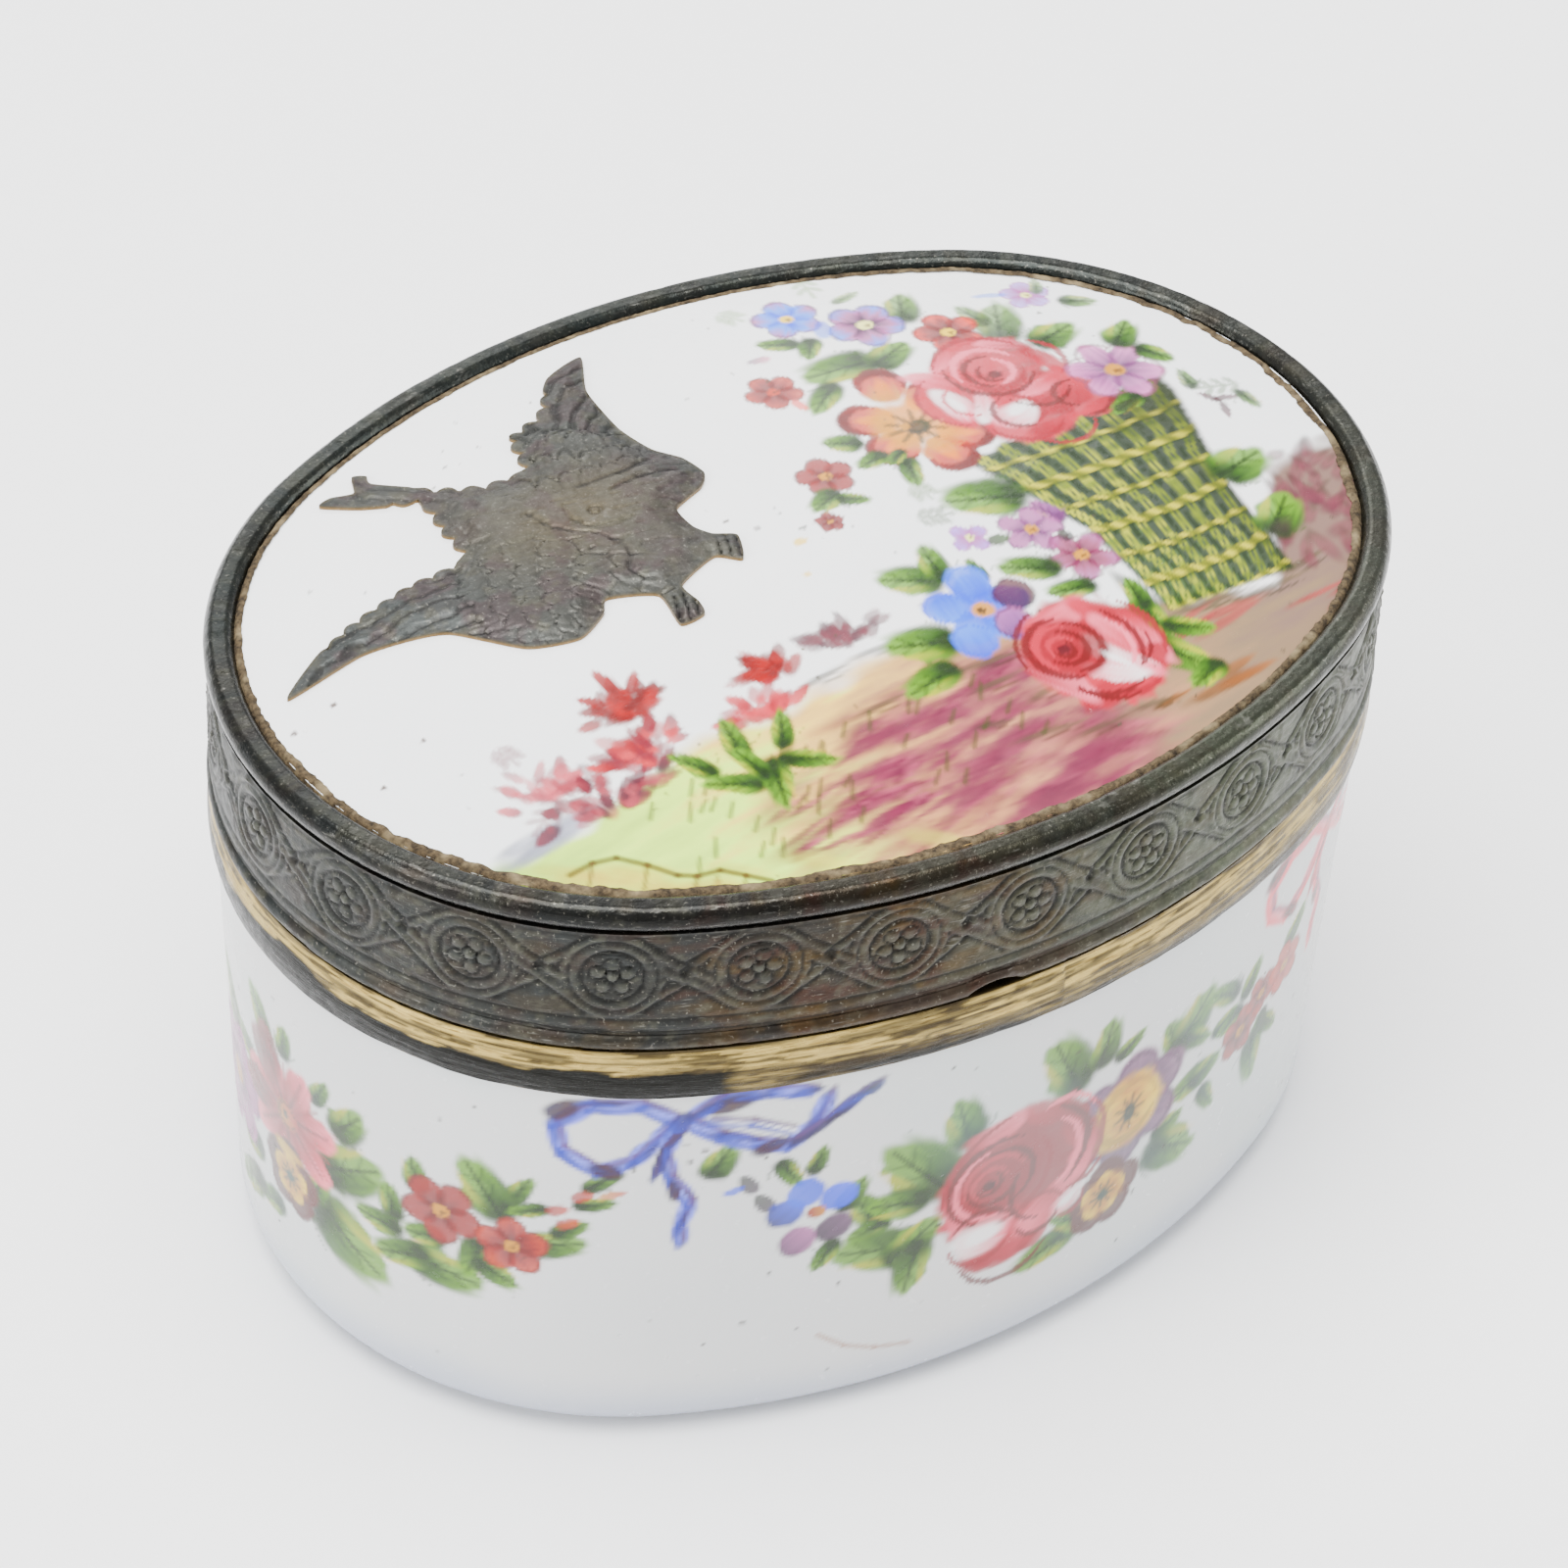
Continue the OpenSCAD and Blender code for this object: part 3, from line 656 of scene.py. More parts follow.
def lid_rose(art):
    """The big rose over the basket, in two cups."""
    for x, y, r in ((10.7, 4.6, 2.1), (14.9, 3.0, 1.9), (12.3, 2.4, 2.0), (12.9, 6.0, 2.4)):
        dab(art, x, y, 2 * r, 1.9 * r, 0, (PINK, PINK, ROSE), 0.97, tip=0, edge=0.1)
    for x, y, length, width, turn, tones in (
            (10.2, 6.2, 2.6, 1.2, 130, (PINK, PINK_PALE)), (10.0, 4.4, 2.6, 1.3, 95, (PINK_PALE, WHITE)),
            (11.0, 3.6, 2.2, 1.0, 60, (WHITE, PINK_PALE)), (11.9, 2.6, 2.2, 1.6, 10, (PINK_PALE, WHITE)),
            (12.9, 1.3, 2.6, 0.9, 5, (ROSE, PINK)), (15.0, 2.9, 2.4, 1.6, 60, (ROSE, PINK)),
            (15.4, 1.5, 1.8, 0.9, 20, (PINK, ROSE)), (14.0, 3.9, 2.6, 0.8, 15, (PINK_PALE, PINK)),
            (15.3, 5.4, 2.6, 1.0, 105, (PINK, ROSE)), (11.4, 7.3, 2.0, 0.8, 40, (PINK_PALE, PINK)),
            (14.4, 7.2, 2.2, 0.8, 150, (ROSE, PINK_PALE))):
        dab(art, x, y, length, width, turn, tones, 0.92, tip=0.1, bend=0.3, edge=0.2)
    for x, y, r, a0, a1, w, tone in (
            (12.8, 5.9, 2.3, 20, 160, 0.3, ROSE), (12.8, 5.9, 1.9, 150, 330, 0.35, CRIMSON),
            (12.8, 5.8, 1.5, 10, 190, 0.35, PINK_PALE),
            (12.8, 5.8, 1.45, 200, 350, 0.4, ROSE), (12.8, 5.7, 1.1, 60, 260, 0.3, CRIMSON),
            (12.8, 5.7, 0.95, 260, 420, 0.3, PINK_PALE),
            (12.8, 5.6, 0.6, 90, 300, 0.26, CRIMSON), (12.2, 2.8, 1.1, 100, 280, 0.3, CRIMSON),
            (12.2, 2.8, 1.0, 280, 440, 0.3, ROSE),
            (12.1, 2.5, 1.7, 180, 330, 0.3, ROSE), (15.0, 2.7, 1.5, 250, 400, 0.3, CRIMSON),
            (15.0, 2.8, 0.9, 60, 250, 0.3, CRIMSON),
            (10.6, 4.6, 1.9, 100, 250, 0.22, ROSE), (11.0, 4.4, 1.2, 120, 260, 0.25, PINK),
            (13.8, 4.2, 1.6, 200, 330, 0.26, CRIMSON),
            (14.6, 5.6, 1.6, 300, 420, 0.3, ROSE), (13.2, 1.6, 1.6, 200, 340, 0.24, ROSE)):
        crescent(art, x, y, r, a0, a1, w, (tone, tone), 0.85)
    dab(art, 12.8, 5.4, 0.7, 0.55, 0, (CRIMSON, MAROON), 0.9, tip=0)
    dab(art, 12.2, 2.9, 1.1, 0.7, 20, (WHITE,), 0.9, edge=0.4)
    dab(art, 10.1, 4.4, 1.2, 0.6, 95, (WHITE,), 0.85, edge=0.4)


def orange_sprays(art):
    """Small orange sprays on the left."""
    blossom(art, 2.7, 2.9, 1.25, 5, (RUST, ORANGE, ORANGE), YELLOW, RUST, 10, 0.9)
    blossom(art, 1.2, 0.35, 0.62, 5, (RUST, ORANGE), YELLOW, RUST, 0)
    dab(art, -0.5, -0.1, 0.6, 0.5, 0, (YELLOW_PALE,), 0.8)
    dab(art, -1.4, -1.9, 0.35, 0.3, 0, (YELLOW_PALE,), 0.7)
    dab(art, 0.1, 0.6, 0.4, 0.3, 0, (OLIVE,), 0.7)
    leaves(art, [(1.8, 1.5, 1.4, 200, 0.8), (2.9, 1.1, 1.1, 330, 0.7), (4.5, 4.4, 1.4, 150, 0.8),
                 (4.9, 2.8, 1.3, 190, 0.7), (5.9, 1.4, 1.6, 250, 0.6), (5.9, 2.5, 1.0, 210, 0.6)])


def violet_daisy(art):
    """Violet daisy at the right, with its leaves and a dark sprig."""
    blossom(art, 17.5, 3.4, 2.1, 6, (VIOLET, LILAC, (222, 196, 216)), YELLOW, (176, 120, 150), 35, 0.62)
    leaves(art, [(19.4, 5.6, 1.8, 40, 0.8), (19.8, 3.7, 1.5, 300, 0.7), (16.5, 1.2, 1.5, 200, 0.6)])
    dab(art, 16.4, 1.1, 1.4, 0.8, 10, (LEAF_DARK, OLIVE), 0.85)
    sprig(art, 19.6, 0.9, 1.9, -15, (150, 172, 120), 0.6)
    leaf(art, 19.8, 1.6, 1.2, 80, 0.6, strength=0.7)
    leaf(art, 21.4, -0.7, 1.2, 280, 0.55, strength=0.7)
    for x, y, turn in ((20.0, -0.9, 250), (20.5, -0.2, 350), (19.9, 0.1, 120)):
        dab(art, x, y, 1.1, 0.45, turn, (MAROON, (160, 90, 120)), 0.8)


def right_leaves(art):
    """Leaves to the right of the basket."""
    leaves(art, [(18.3, -4.1, 2.3, 15, 0.9), (17.8, -7.4, 2.3, 40, 0.8)])
    dab(art, 17.2, -8.3, 1.8, 1.0, 30, (LEAF_DARK, (110, 90, 90)), 0.7, edge=0.5)


def left_flowers(art):
    """Violet, lilac and blue flowers to the left of the basket."""
    dab(art, 9.6, -8.8, 2.6, 1.0, 100, (LEAF_DARK, OLIVE), 0.75, edge=0.4)
    leaf(art, 7.4, -1.4, 2.9, 160, 0.78)
    sprig(art, 5.8, -1.6, 1.3, 165, (140, 160, 110), 0.6)
    sprig(art, 5.6, -0.4, 0.9, 100, (170, 186, 140), 0.5)
    leaf(art, 9.2, -3.2, 1.4, 110, 0.6, light=LILAC, mid=(190, 150, 190), dark=VIOLET)
    blossom(art, 8.0, -3.9, 1.4, 5, (VIOLET, LILAC, LILAC), YELLOW, VIOLET, 60, 0.7)
    blossom(art, 8.9, -6.1, 1.5, 5, ((150, 70, 110), (196, 130, 170), LILAC), YELLOW, (150, 70, 110), 250,
            0.7)
    dab(art, 9.0, -4.8, 0.8, 0.7, 90, (BLACK, OLIVE), 0.85)
    blossom(art, 5.5, -3.2, 0.9, 4, (LILAC, (216, 200, 226)), CREAM, LILAC, 20)
    dab(art, 6.5, -3.8, 1.0, 0.8, 0, (OLIVE, LEAF_MID), 0.9)
    leaves(art, [(1.9, -4.2, 2.2, 150, 0.75), (3.3, -3.7, 1.9, 80, 0.6), (6.5, -5.8, 2.1, 150, 0.65),
                 (7.3, -7.6, 1.8, 170, 0.6),
                 (0.2, -7.5, 2.5, 160, 0.75), (-0.6, -9.4, 2.2, 190, 0.65), (4.6, -4.9, 1.2, 90, 0.5)])
    petals(art, 3.5, -7.0, 2.1, 5, (BLUE, BLUE_PALE), 0.8, 75)
    for x, y, r, tones in ((3.9, -5.4, 1.0, (BLUE, BLUE_PALE)), (2.2, -6.2, 0.95, (BLUE_PALE, BLUE)),
                           (2.2, -8.3, 1.0, (BLUE, BLUE_PALE)),
                           (5.1, -6.8, 0.95, (MAROON, (150, 60, 90))), (4.2, -8.2, 0.95, (VIOLET, LILAC))):
        dab(art, x, y, 2 * r, 1.8 * r, 80, tones, 0.92, tip=0, edge=0.15)
        crescent(art, x, y, r * 0.85, 0, 350, 0.14, (BLUE if tones[0] in (BLUE, BLUE_PALE) else PLUM,), 0.5)
    dab(art, 3.5, -7.0, 1.0, 0.9, 0, (YELLOW,), 0.95, tip=0)
    dab(art, 3.4, -7.0, 0.4, 0.35, 0, (BLACK,), 0.85, tip=0)
    leaves(art, [(9.3, -10.4, 1.9, 270, 0.6), (10.3, -11.4, 1.7, 330, 0.6), (9.1, -12.6, 2.2, 300, 0.7),
                 (9.4, -13.9, 1.7, 200, 0.6), (9.5, -8.9, 1.6, 80, 0.6)])


def paint_lid(art):
    """The lid's picture, laid from back to front; x runs right and y away from the front."""
    ground(art)
    bushes(art)
    bank_plant(art)
    basket(art)
    top_leaves(art)
    blue_flowers(art)
    orange_flowers(art)
    lid_pansy(art)
    lid_rose(art)
    orange_sprays(art)
    violet_daisy(art)
    right_leaves(art)
    left_flowers(art)
    rose(art, 6.1, -10.9, 2.95)
    rim_dirt(art)


def rim_dirt(art):
    """Pinholes in the glaze, and the crackled, yellowed patch at the front left."""
    rng = np.random.default_rng(21)
    for _ in range(90):
        x = rng.uniform(-22, 20)
        y = rng.uniform(-15, 16)
        size = rng.uniform(0.1, 0.2)
        dab(art, x, y, size, size, 0, ((120, 112, 96),), rng.uniform(0.3, 0.9), tip=0)
    for x, y, size in ((-20.7, 1.8, 0.28), (-22.7, 1.3, 0.26), (-18.9, -1.9, 0.24), (-21.4, -3.2, 0.26),
                       (-1.5, 1.5, 0.2), (-2.3, 2.5, 0.22)):
        dab(art, x, y, size, size, 0, (BROWN,), 0.9, tip=0)
    patch = ((-17.9, -10.8), (-16.9, -10.75), (-16.0, -11.0), (-15.2, -11.9), (-14.5, -12.9),
             (-13.9, -13.3), (-13.0, -13.5), (-12.3, -14.2), (-11.6, -14.9))
    for x, y in patch:
        dab(art, x - 0.6, y - 0.7, 2.0, 1.3, -40, ((212, 200, 130), (222, 214, 156)), 0.5, edge=0.6)
    line(art, patch, 0.2, (130, 108, 60), 0.8, taper=0.2)
    for k in range(1, len(patch) - 1, 2):
        x, y = patch[k]
        line(art, [(x, y), (x - 0.7, y - 0.9)], 0.12, (150, 128, 76), 0.6)


# ---------------------------------------------------------------- the bowl's garlands


def bow(art, tones, dark):
    """A ribbon bow with two loops and tails; its knot is at u = 0."""
    ribbon(art, [(-0.3, 18.6), (-1.6, 19.4), (-3.6, 19.3), (-5.0, 18.2), (-4.7, 16.7), (-3.2, 15.7),
                 (-1.9, 16.3), (-1.0, 17.4), (-0.3, 18.4)],
           0.95, tones)
    ribbon(art, [(0.3, 18.6), (1.6, 19.6), (3.6, 19.6), (5.2, 19.3)], 0.9, tones)
    ribbon(art, [(0.4, 18.3), (1.6, 17.4), (3.0, 16.8), (4.4, 16.4), (5.4, 17.6), (5.9, 19.0)], 0.95, tones)
    ribbon(art, [(1.2, 18.3), (2.8, 18.0), (4.4, 17.3)], 0.6, (tones[0], WHITE))
    ribbon(art, [(4.6, 16.6), (6.0, 17.6), (7.2, 18.6), (8.0, 19.0)], 0.75, (dark, tones[-1]))
    ribbon(art, [(-0.2, 18.0), (-0.6, 16.6), (-0.3, 15.2), (0.5, 13.8), (0.1, 12.6), (0.2, 11.5)], 0.85,
           tones)
    ribbon(art, [(0.1, 18.0), (-0.6, 17.0), (-1.0, 15.4)], 0.5, (dark, tones[0]))
    for x, y, length, width, turn in ((-4.7, 19.0, 1.7, 1.0, 30), (-2.9, 15.7, 1.5, 0.9, 160),
                                      (1.8, 19.1, 2.2, 0.9, 10), (3.6, 16.5, 1.6, 0.8, 20),
                                      (-0.2, 14.6, 1.3, 0.6, 95)):
        dab(art, x, y, length, width, turn, (dark, MAROON, dark), 0.95, tip=0.2, edge=0.3, streak=0.8)
    for x, y, length, width, turn in ((-3.2, 19.5, 2.2, 0.5, 0), (-1.4, 16.6, 1.6, 0.4, 50),
                                      (1.0, 18.9, 1.8, 0.5, 25), (2.6, 19.5, 1.6, 0.6, -5),
                                      (2.2, 17.3, 2.0, 0.5, -20), (5.0, 19.3, 1.4, 0.5, 10),
                                      (6.8, 18.2, 2.6, 0.6, 38), (-0.6, 16.4, 1.8, 0.4, 80),
                                      (0.2, 12.6, 1.6, 0.4, 75)):
        dab(art, x, y, length, width, turn, (dark, tones[0], dark), 0.8, tip=0.3, edge=0.35, streak=0.8)
    dab(art, 0, 18.4, 1.3, 1.0, 60, (tones[0], dark), 0.9)


def front_swag(art):
    """The big rose with its pansies and leaves; the rose is near u = 0."""
    leaves(art, [(-14.2, 16.0, 1.5, 60, 0.8), (-11.3, 14.8, 1.4, 300, 0.6), (-10.2, 15.3, 1.2, 70, 0.6),
                 (-8.0, 11.8, 1.7, 120, 0.7), (-7.8, 10.5, 1.5, 200, 0.6), (-5.8, 13.3, 3.3, 130, 0.78),
                 (-7.4, 9.2, 2.8, 170, 0.7), (-5.7, 9.2, 2.2, 40, 0.7), (-5.7, 7.6, 2.3, 260, 0.65),
                 (-3.9, 15.2, 2.2, 105, 0.75)])
    leaves(art, [(-9.6, 9.6, 1.4, 240, 0.6), (-8.6, 12.9, 1.5, 60, 0.6), (-6.6, 11.6, 2.0, 170, 0.7),
                 (6.9, 14.2, 1.6, 110, 0.7),
                 (7.4, 8.9, 1.4, 10, 0.7), (10.6, 12.6, 1.3, 20, 0.6), (13.6, 10.2, 1.2, 230, 0.6)])
    for x, y in ((-13.0, 14.5), (-12.3, 13.3)):
        dab(art, x, y, 1.2, 0.9, 120, (PLUM, LEAF_DARK), 0.85)
    dab(art, -13.6, 14.2, 0.9, 0.5, 20, (BLUE,), 0.8)
    for x, y, tones in ((-9.2, 13.0, (BLUE, (140, 176, 236))), (-11.4, 12.5, (BLUE_DEEP, BLUE)),
                        (-10.6, 13.5, ((150, 180, 226), BLUE)),
                        (-10.8, 10.8, (VIOLET, LILAC)), (-9.3, 11.2, (PLUM, VIOLET))):
        dab(art, x, y, 1.7, 1.5, 45, tones, 0.93, tip=0, edge=0.15)
    dab(art, -10.1, 12.3, 0.8, 0.7, 0, (ORANGE, YELLOW), 0.95, tip=0)
    leaves(art, [(0.9, 16.1, 2.9, 115, 0.7), (2.9, 16.3, 1.9, 80, 0.7), (4.3, 15.4, 1.3, 30, 0.6),
                 (1.0, 5.5, 2.6, 200, 0.55),
                 (2.2, 6.5, 1.9, 150, 0.6), (7.9, 7.3, 2.7, 330, 0.75), (8.3, 14.4, 2.4, 50, 0.85),
                 (8.7, 13.0, 1.5, 330, 0.6),
                 (8.5, 10.4, 1.9, 190, 0.7), (10.0, 8.7, 1.5, 300, 0.6), (9.6, 10.6, 1.6, 20, 0.7)])
    petals(art, 4.8, 11.4, 3.3, 6, ((206, 170, 190), VIOLET, (186, 150, 180)), 0.75, 25)
    for a in range(0, 360, 60):
        c = math.radians(a + 25)
        crescent(art, 4.8 + 1.9 * math.cos(c), 11.4 + 1.9 * math.sin(c), 1.1, a - 60, a + 110, 0.3,
                 (VIOLET, PLUM, VIOLET), 0.5)
    dab(art, 4.7, 11.4, 3.9, 4.2, 0, (YELLOW_PALE, YELLOW, YELLOW_PALE), 0.93, tip=0, edge=0.15)
    crescent(art, 4.7, 11.4, 1.6, 0, 350, 0.5, ((206, 190, 90), (190, 180, 80)), 0.5)
    for k in range(9):
        c = math.radians(40 * k)
        line(art, [(4.8 + 0.2 * math.cos(c), 11.3 + 0.3 * math.sin(c)),
                   (4.8 + 0.8 * math.cos(c), 11.3 + 1.0 * math.sin(c))], 0.2, OLIVE, 0.7)
    dab(art, 4.8, 11.2, 0.7, 0.9, 0, (BLACK, OLIVE), 0.9, tip=0)
    pansy(art, 3.9, 7.0, 2.0, RUST, YELLOW, 15)
    big_rose(art)
    leaves(art, [(10.3, 14.3, 1.8, 150, 0.6), (12.3, 13.8, 1.5, 60, 0.6), (11.0, 12.2, 1.4, 200, 0.6),
                 (13.4, 8.5, 2.3, 280, 0.6), (15.8, 14.2, 1.6, 50, 0.6), (14.6, 9.6, 1.5, 320, 0.6)])
    blossom(art, 12.0, 11.0, 1.4, 5, (RUST, ORANGE, ORANGE_PALE), YELLOW, RUST, 10)
    blossom(art, 13.4, 12.1, 1.2, 5, (RUST, ORANGE, ORANGE_PALE), YELLOW, RUST, 50)
    blossom(art, 15.3, 12.3, 1.4, 5, (ORANGE, ORANGE_PALE, ORANGE_PALE), YELLOW, RUST, 30)


def big_rose(art):
    """The front rose: a turning heart high on the left and open petals below it."""
    dab(art, -0.7, 10.9, 8.0, 7.3, 10, (PINK, ROSE, ROSE), 0.97, tip=0, edge=0.08)
    dab(art, -1.3, 7.6, 4.6, 3.2, 5, (PINK, PINK), 0.97, tip=0, edge=0.12)
    for x, y, length, width, turn, tones in (
            (-3.6, 12.2, 3.6, 1.4, 75, (PINK, ROSE)), (-2.2, 14.0, 3.2, 1.3, 15, (PINK, PINK_PALE)),
            (0.4, 13.9, 3.0, 1.4, -25, (PINK, ROSE)),
            (1.9, 12.2, 3.2, 1.5, -65, (ROSE, PINK)), (2.4, 10.3, 2.6, 1.4, -100, (PINK, PINK_PALE)),
            (1.3, 9.0, 2.6, 1.3, 30, (PINK, PINK_PALE)),
            (-3.9, 9.6, 2.2, 1.0, 110, (PINK_PALE, PINK)), (-2.4, 8.0, 2.9, 2.0, 5, (WHITE, PINK_PALE)),
            (0.3, 7.9, 2.2, 1.9, 40, (PINK_PALE, PINK)),
            (-1.6, 6.4, 3.6, 1.2, 0, (ROSE, PINK)), (1.9, 8.0, 1.9, 1.2, 30, (PINK_PALE, WHITE)),
            (0.2, 6.6, 1.8, 0.9, 30, (ROSE, PINK))):
        dab(art, x, y, length, width, turn, tones, 0.88, tip=0.1, bend=0.3, edge=0.22)
    dab(art, -2.0, 11.0, 4.2, 4.0, 0, (ROSE, ROSE), 0.85, tip=0, edge=0.2)
    for x, y, r, a0, a1, w, tone in (
            (-1.9, 11.0, 2.35, 60, 250, 0.36, CRIMSON), (-1.9, 11.0, 2.5, 260, 400, 0.34, ROSE),
            (-2.0, 11.0, 1.95, 100, 300, 0.3, PINK_PALE),
            (-2.0, 11.0, 1.75, 300, 470, 0.3, CRIMSON), (-2.1, 11.0, 1.45, 20, 200, 0.26, PINK),
            (-2.2, 11.0, 1.2, 180, 380, 0.28, CRIMSON),
            (-2.3, 11.0, 0.85, 20, 230, 0.24, PINK), (-2.4, 11.0, 0.6, 200, 420, 0.24, CRIMSON),
            (-0.4, 11.3, 2.9, -50, 70, 0.4, CRIMSON),
            (-0.2, 11.2, 2.3, -60, 60, 0.34, PINK_PALE), (0.2, 11.2, 3.2, -60, 60, 0.3, ROSE),
            (-0.6, 10.8, 3.9, 100, 190, 0.3, ROSE),
            (-2.5, 8.0, 1.5, 20, 160, 0.32, CRIMSON), (-2.5, 8.0, 1.5, 190, 340, 0.34, ROSE),
            (0.3, 8.0, 1.1, 190, 350, 0.32, CRIMSON),
            (0.4, 7.9, 1.2, 20, 150, 0.28, ROSE), (1.9, 7.9, 0.8, 200, 380, 0.24, ROSE),
            (-1.2, 7.4, 2.4, 205, 330, 0.36, CRIMSON),
            (0.6, 9.6, 1.8, 150, 260, 0.28, CRIMSON), (2.2, 10.0, 1.3, 240, 350, 0.26, ROSE),
            (0.9, 12.4, 1.9, 20, 120, 0.3, PINK_PALE)):
        crescent(art, x, y, r, a0, a1, w, (tone, tone), 0.85)
    dab(art, -2.4, 10.9, 0.7, 0.6, 0, (CRIMSON, MAROON), 0.9, tip=0)
    dab(art, -2.4, 8.1, 1.9, 1.1, 5, (WHITE,), 0.9, edge=0.4)
    dab(art, 1.8, 8.0, 0.9, 0.6, 30, (WHITE,), 0.8, edge=0.4)


def side_swag(art):
    """Daisy, pansy and orange flowers, placed as they lie to the left of the front."""
    shift = 33.0
    art.u = art.u - shift
    leaves(art, [(-17.6, 15.2, 1.5, 40, 0.5), (-17.9, 13.8, 1.3, 10, 0.5), (-21.0, 14.0, 1.6, 60, 0.5),
                 (-22.5, 13.7, 2.6, 120, 0.7),
                 (-19.5, 11.3, 2.0, 10, 0.65), (-24.2, 8.3, 2.6, 350, 0.7), (-26.4, 8.2, 2.2, 200, 0.6),
                 (-26.8, 11.0, 1.5, 100, 0.7),
                 (-27.5, 9.5, 1.8, 180, 0.6), (-28.9, 11.4, 3.0, 30, 0.75), (-29.0, 13.9, 1.9, 50, 0.8),
                 (-29.2, 7.2, 3.4, 330, 0.85),
                 (-35.0, 15.6, 2.0, 120, 0.7), (-33.0, 15.6, 1.4, 80, 0.7), (-39.0, 13.2, 2.8, 130, 0.6),
                 (-36.8, 12.5, 1.7, 160, 0.6),
                 (-34.8, 5.2, 1.8, 200, 0.6), (-37.2, 4.4, 2.8, 210, 0.5), (-20.6, 13.0, 1.3, 200, 0.5)])
    leaves(art, [(-22.9, 9.6, 1.8, 250, 0.7), (-25.6, 13.2, 1.5, 100, 0.7), (-21.9, 9.0, 1.6, 330, 0.7),
                 (-18.9, 12.3, 1.3, 30, 0.6),
                 (-31.0, 8.9, 1.6, 60, 0.7), (-36.6, 7.0, 1.8, 200, 0.7), (-30.6, 14.6, 1.4, 60, 0.6),
                 (-25.2, 9.9, 1.5, 190, 0.7)])
    dab(art, -17.2, 14.4, 1.2, 0.5, 20, (YELLOW, ORANGE_PALE), 0.8)
    for x, y in ((-18.4, 14.2), (-19.4, 13.3), (-19.0, 12.6)):
        dab(art, x, y, 1.0, 0.7, 20, (ORANGE, ORANGE_PALE), 0.85)
    blossom(art, -24.4, 11.7, 1.85, 5, (RUST, ORANGE, ORANGE), YELLOW, RUST, 55)
    blossom(art, -21.3, 10.8, 1.6, 5, (RUST, ORANGE, ORANGE_PALE), YELLOW, RUST, 20)
    petals(art, -38.6, 9.3, 3.2, 6, (VIOLET, LILAC, LILAC), 0.7, 10)
    for a in range(0, 360, 60):
        c = math.radians(a)
        crescent(art, -38.6 + 1.8 * math.cos(c), 9.3 + 1.8 * math.sin(c), 1.0, a - 70, a + 90, 0.24,
                 (VIOLET,), 0.5)
    dab(art, -38.6, 9.3, 1.4, 1.2, 0, (YELLOW,), 0.9, tip=0)
    petals(art, -33.0, 11.5, 3.4, 7, (ROSE, PINK, PINK_PALE), 0.55, 14)
    for x, y, turn in ((-34.8, 13.5, 130), (-35.5, 11.2, 185), (-34.3, 14.2, 110)):
        dab(art, x, y, 2.8, 1.8, turn, (ROSE, CRIMSON, ROSE), 0.88, tip=0, edge=0.15)
    for k in range(14):
        c = math.radians(14 + k * 360 / 14)
        line(art, [(-33 + 0.8 * math.cos(c), 11.5 + 0.8 * math.sin(c)),
                   (-33 + 2.9 * math.cos(c), 11.5 + 2.9 * math.sin(c))], 0.16,
             ROSE if k % 2 else CRIMSON, 0.6)
    dab(art, -33.0, 11.5, 1.5, 1.4, 0, (YELLOW, ORANGE_PALE), 0.95, tip=0)
    crescent(art, -33.0, 11.5, 0.6, 0, 350, 0.2, (RUST,), 0.7)
    dab(art, -33.1, 11.5, 0.4, 0.4, 0, (BROWN,), 0.9, tip=0)
    pansy(art, -33.0, 8.0, 2.0, RUST, YELLOW, 15)
    dab(art, -33.0, 9.4, 2.0, 0.8, 0, (YELLOW_PALE, YELLOW), 0.8, edge=0.4)
    art.u = art.u + shift


def paint_bowl(art):
    """Four garlands hung from four bows, and a bluish grey laid over the glaze, heavier towards the foot."""
    swags = 4
    pitch = ROUND / swags
    for k in range(swags):
        art.around(k * pitch)
        if k % 2:
            art.around(k * pitch + 0.6)
            side_swag(art)
        else:
            front_swag(art)
    for k in range(swags):
        art.around(-15.8 + k * pitch - (1.2 if k else 0))
        if k % 2:
            bow(art, ((232, 150, 170), (246, 206, 214), (226, 130, 150)), (196, 80, 110))
        else:
            bow(art, ((96, 128, 210), (196, 200, 232), (120, 120, 196)), (78, 50, 112))
    art.u = art.place_u
    # the noise is read round a ring, so that it meets itself at the back
    turn = 2 * math.pi * art.u / ROUND
    ring_x = HALF_L * np.cos(turn) + 90
    ring_y = HALF_L * np.sin(turn) + 90
    everywhere = np.arange(len(art.u))
    # bluish grey, heavier towards the foot
    low = 1 - smooth(art.v + 1.2 * (fbm(ring_x * 0.15, ring_y * 0.15, 71) - 0.5), 0.6, 3.8)
    art.lay(everywhere, 0.42 * low, art.pigment((190, 200, 214)))
    haze = smooth(fbm(ring_x * 0.1, ring_y * 0.1 + art.v * 0.1, 73), 0.45, 0.75)
    art.lay(everywhere, 0.14 * haze, art.pigment((214, 222, 222)))
    rng = np.random.default_rng(77)
    for _ in range(150):
        x = rng.uniform(-ROUND / 2, ROUND / 2)
        y = rng.uniform(1.5, 19.6)
        size = rng.uniform(0.12, 0.26)
        dab(art, x, y, size, size, 0, ((96, 88, 76),), rng.uniform(0.3, 0.95), tip=0)
    line(art, [(-9.6, 4.9), (-8.4, 3.9), (-7.0, 3.3), (-5.4, 3.0)], 0.16, (206, 190, 176), 0.6, taper=0.2)


# ---------------------------------------------------------------- mesh building


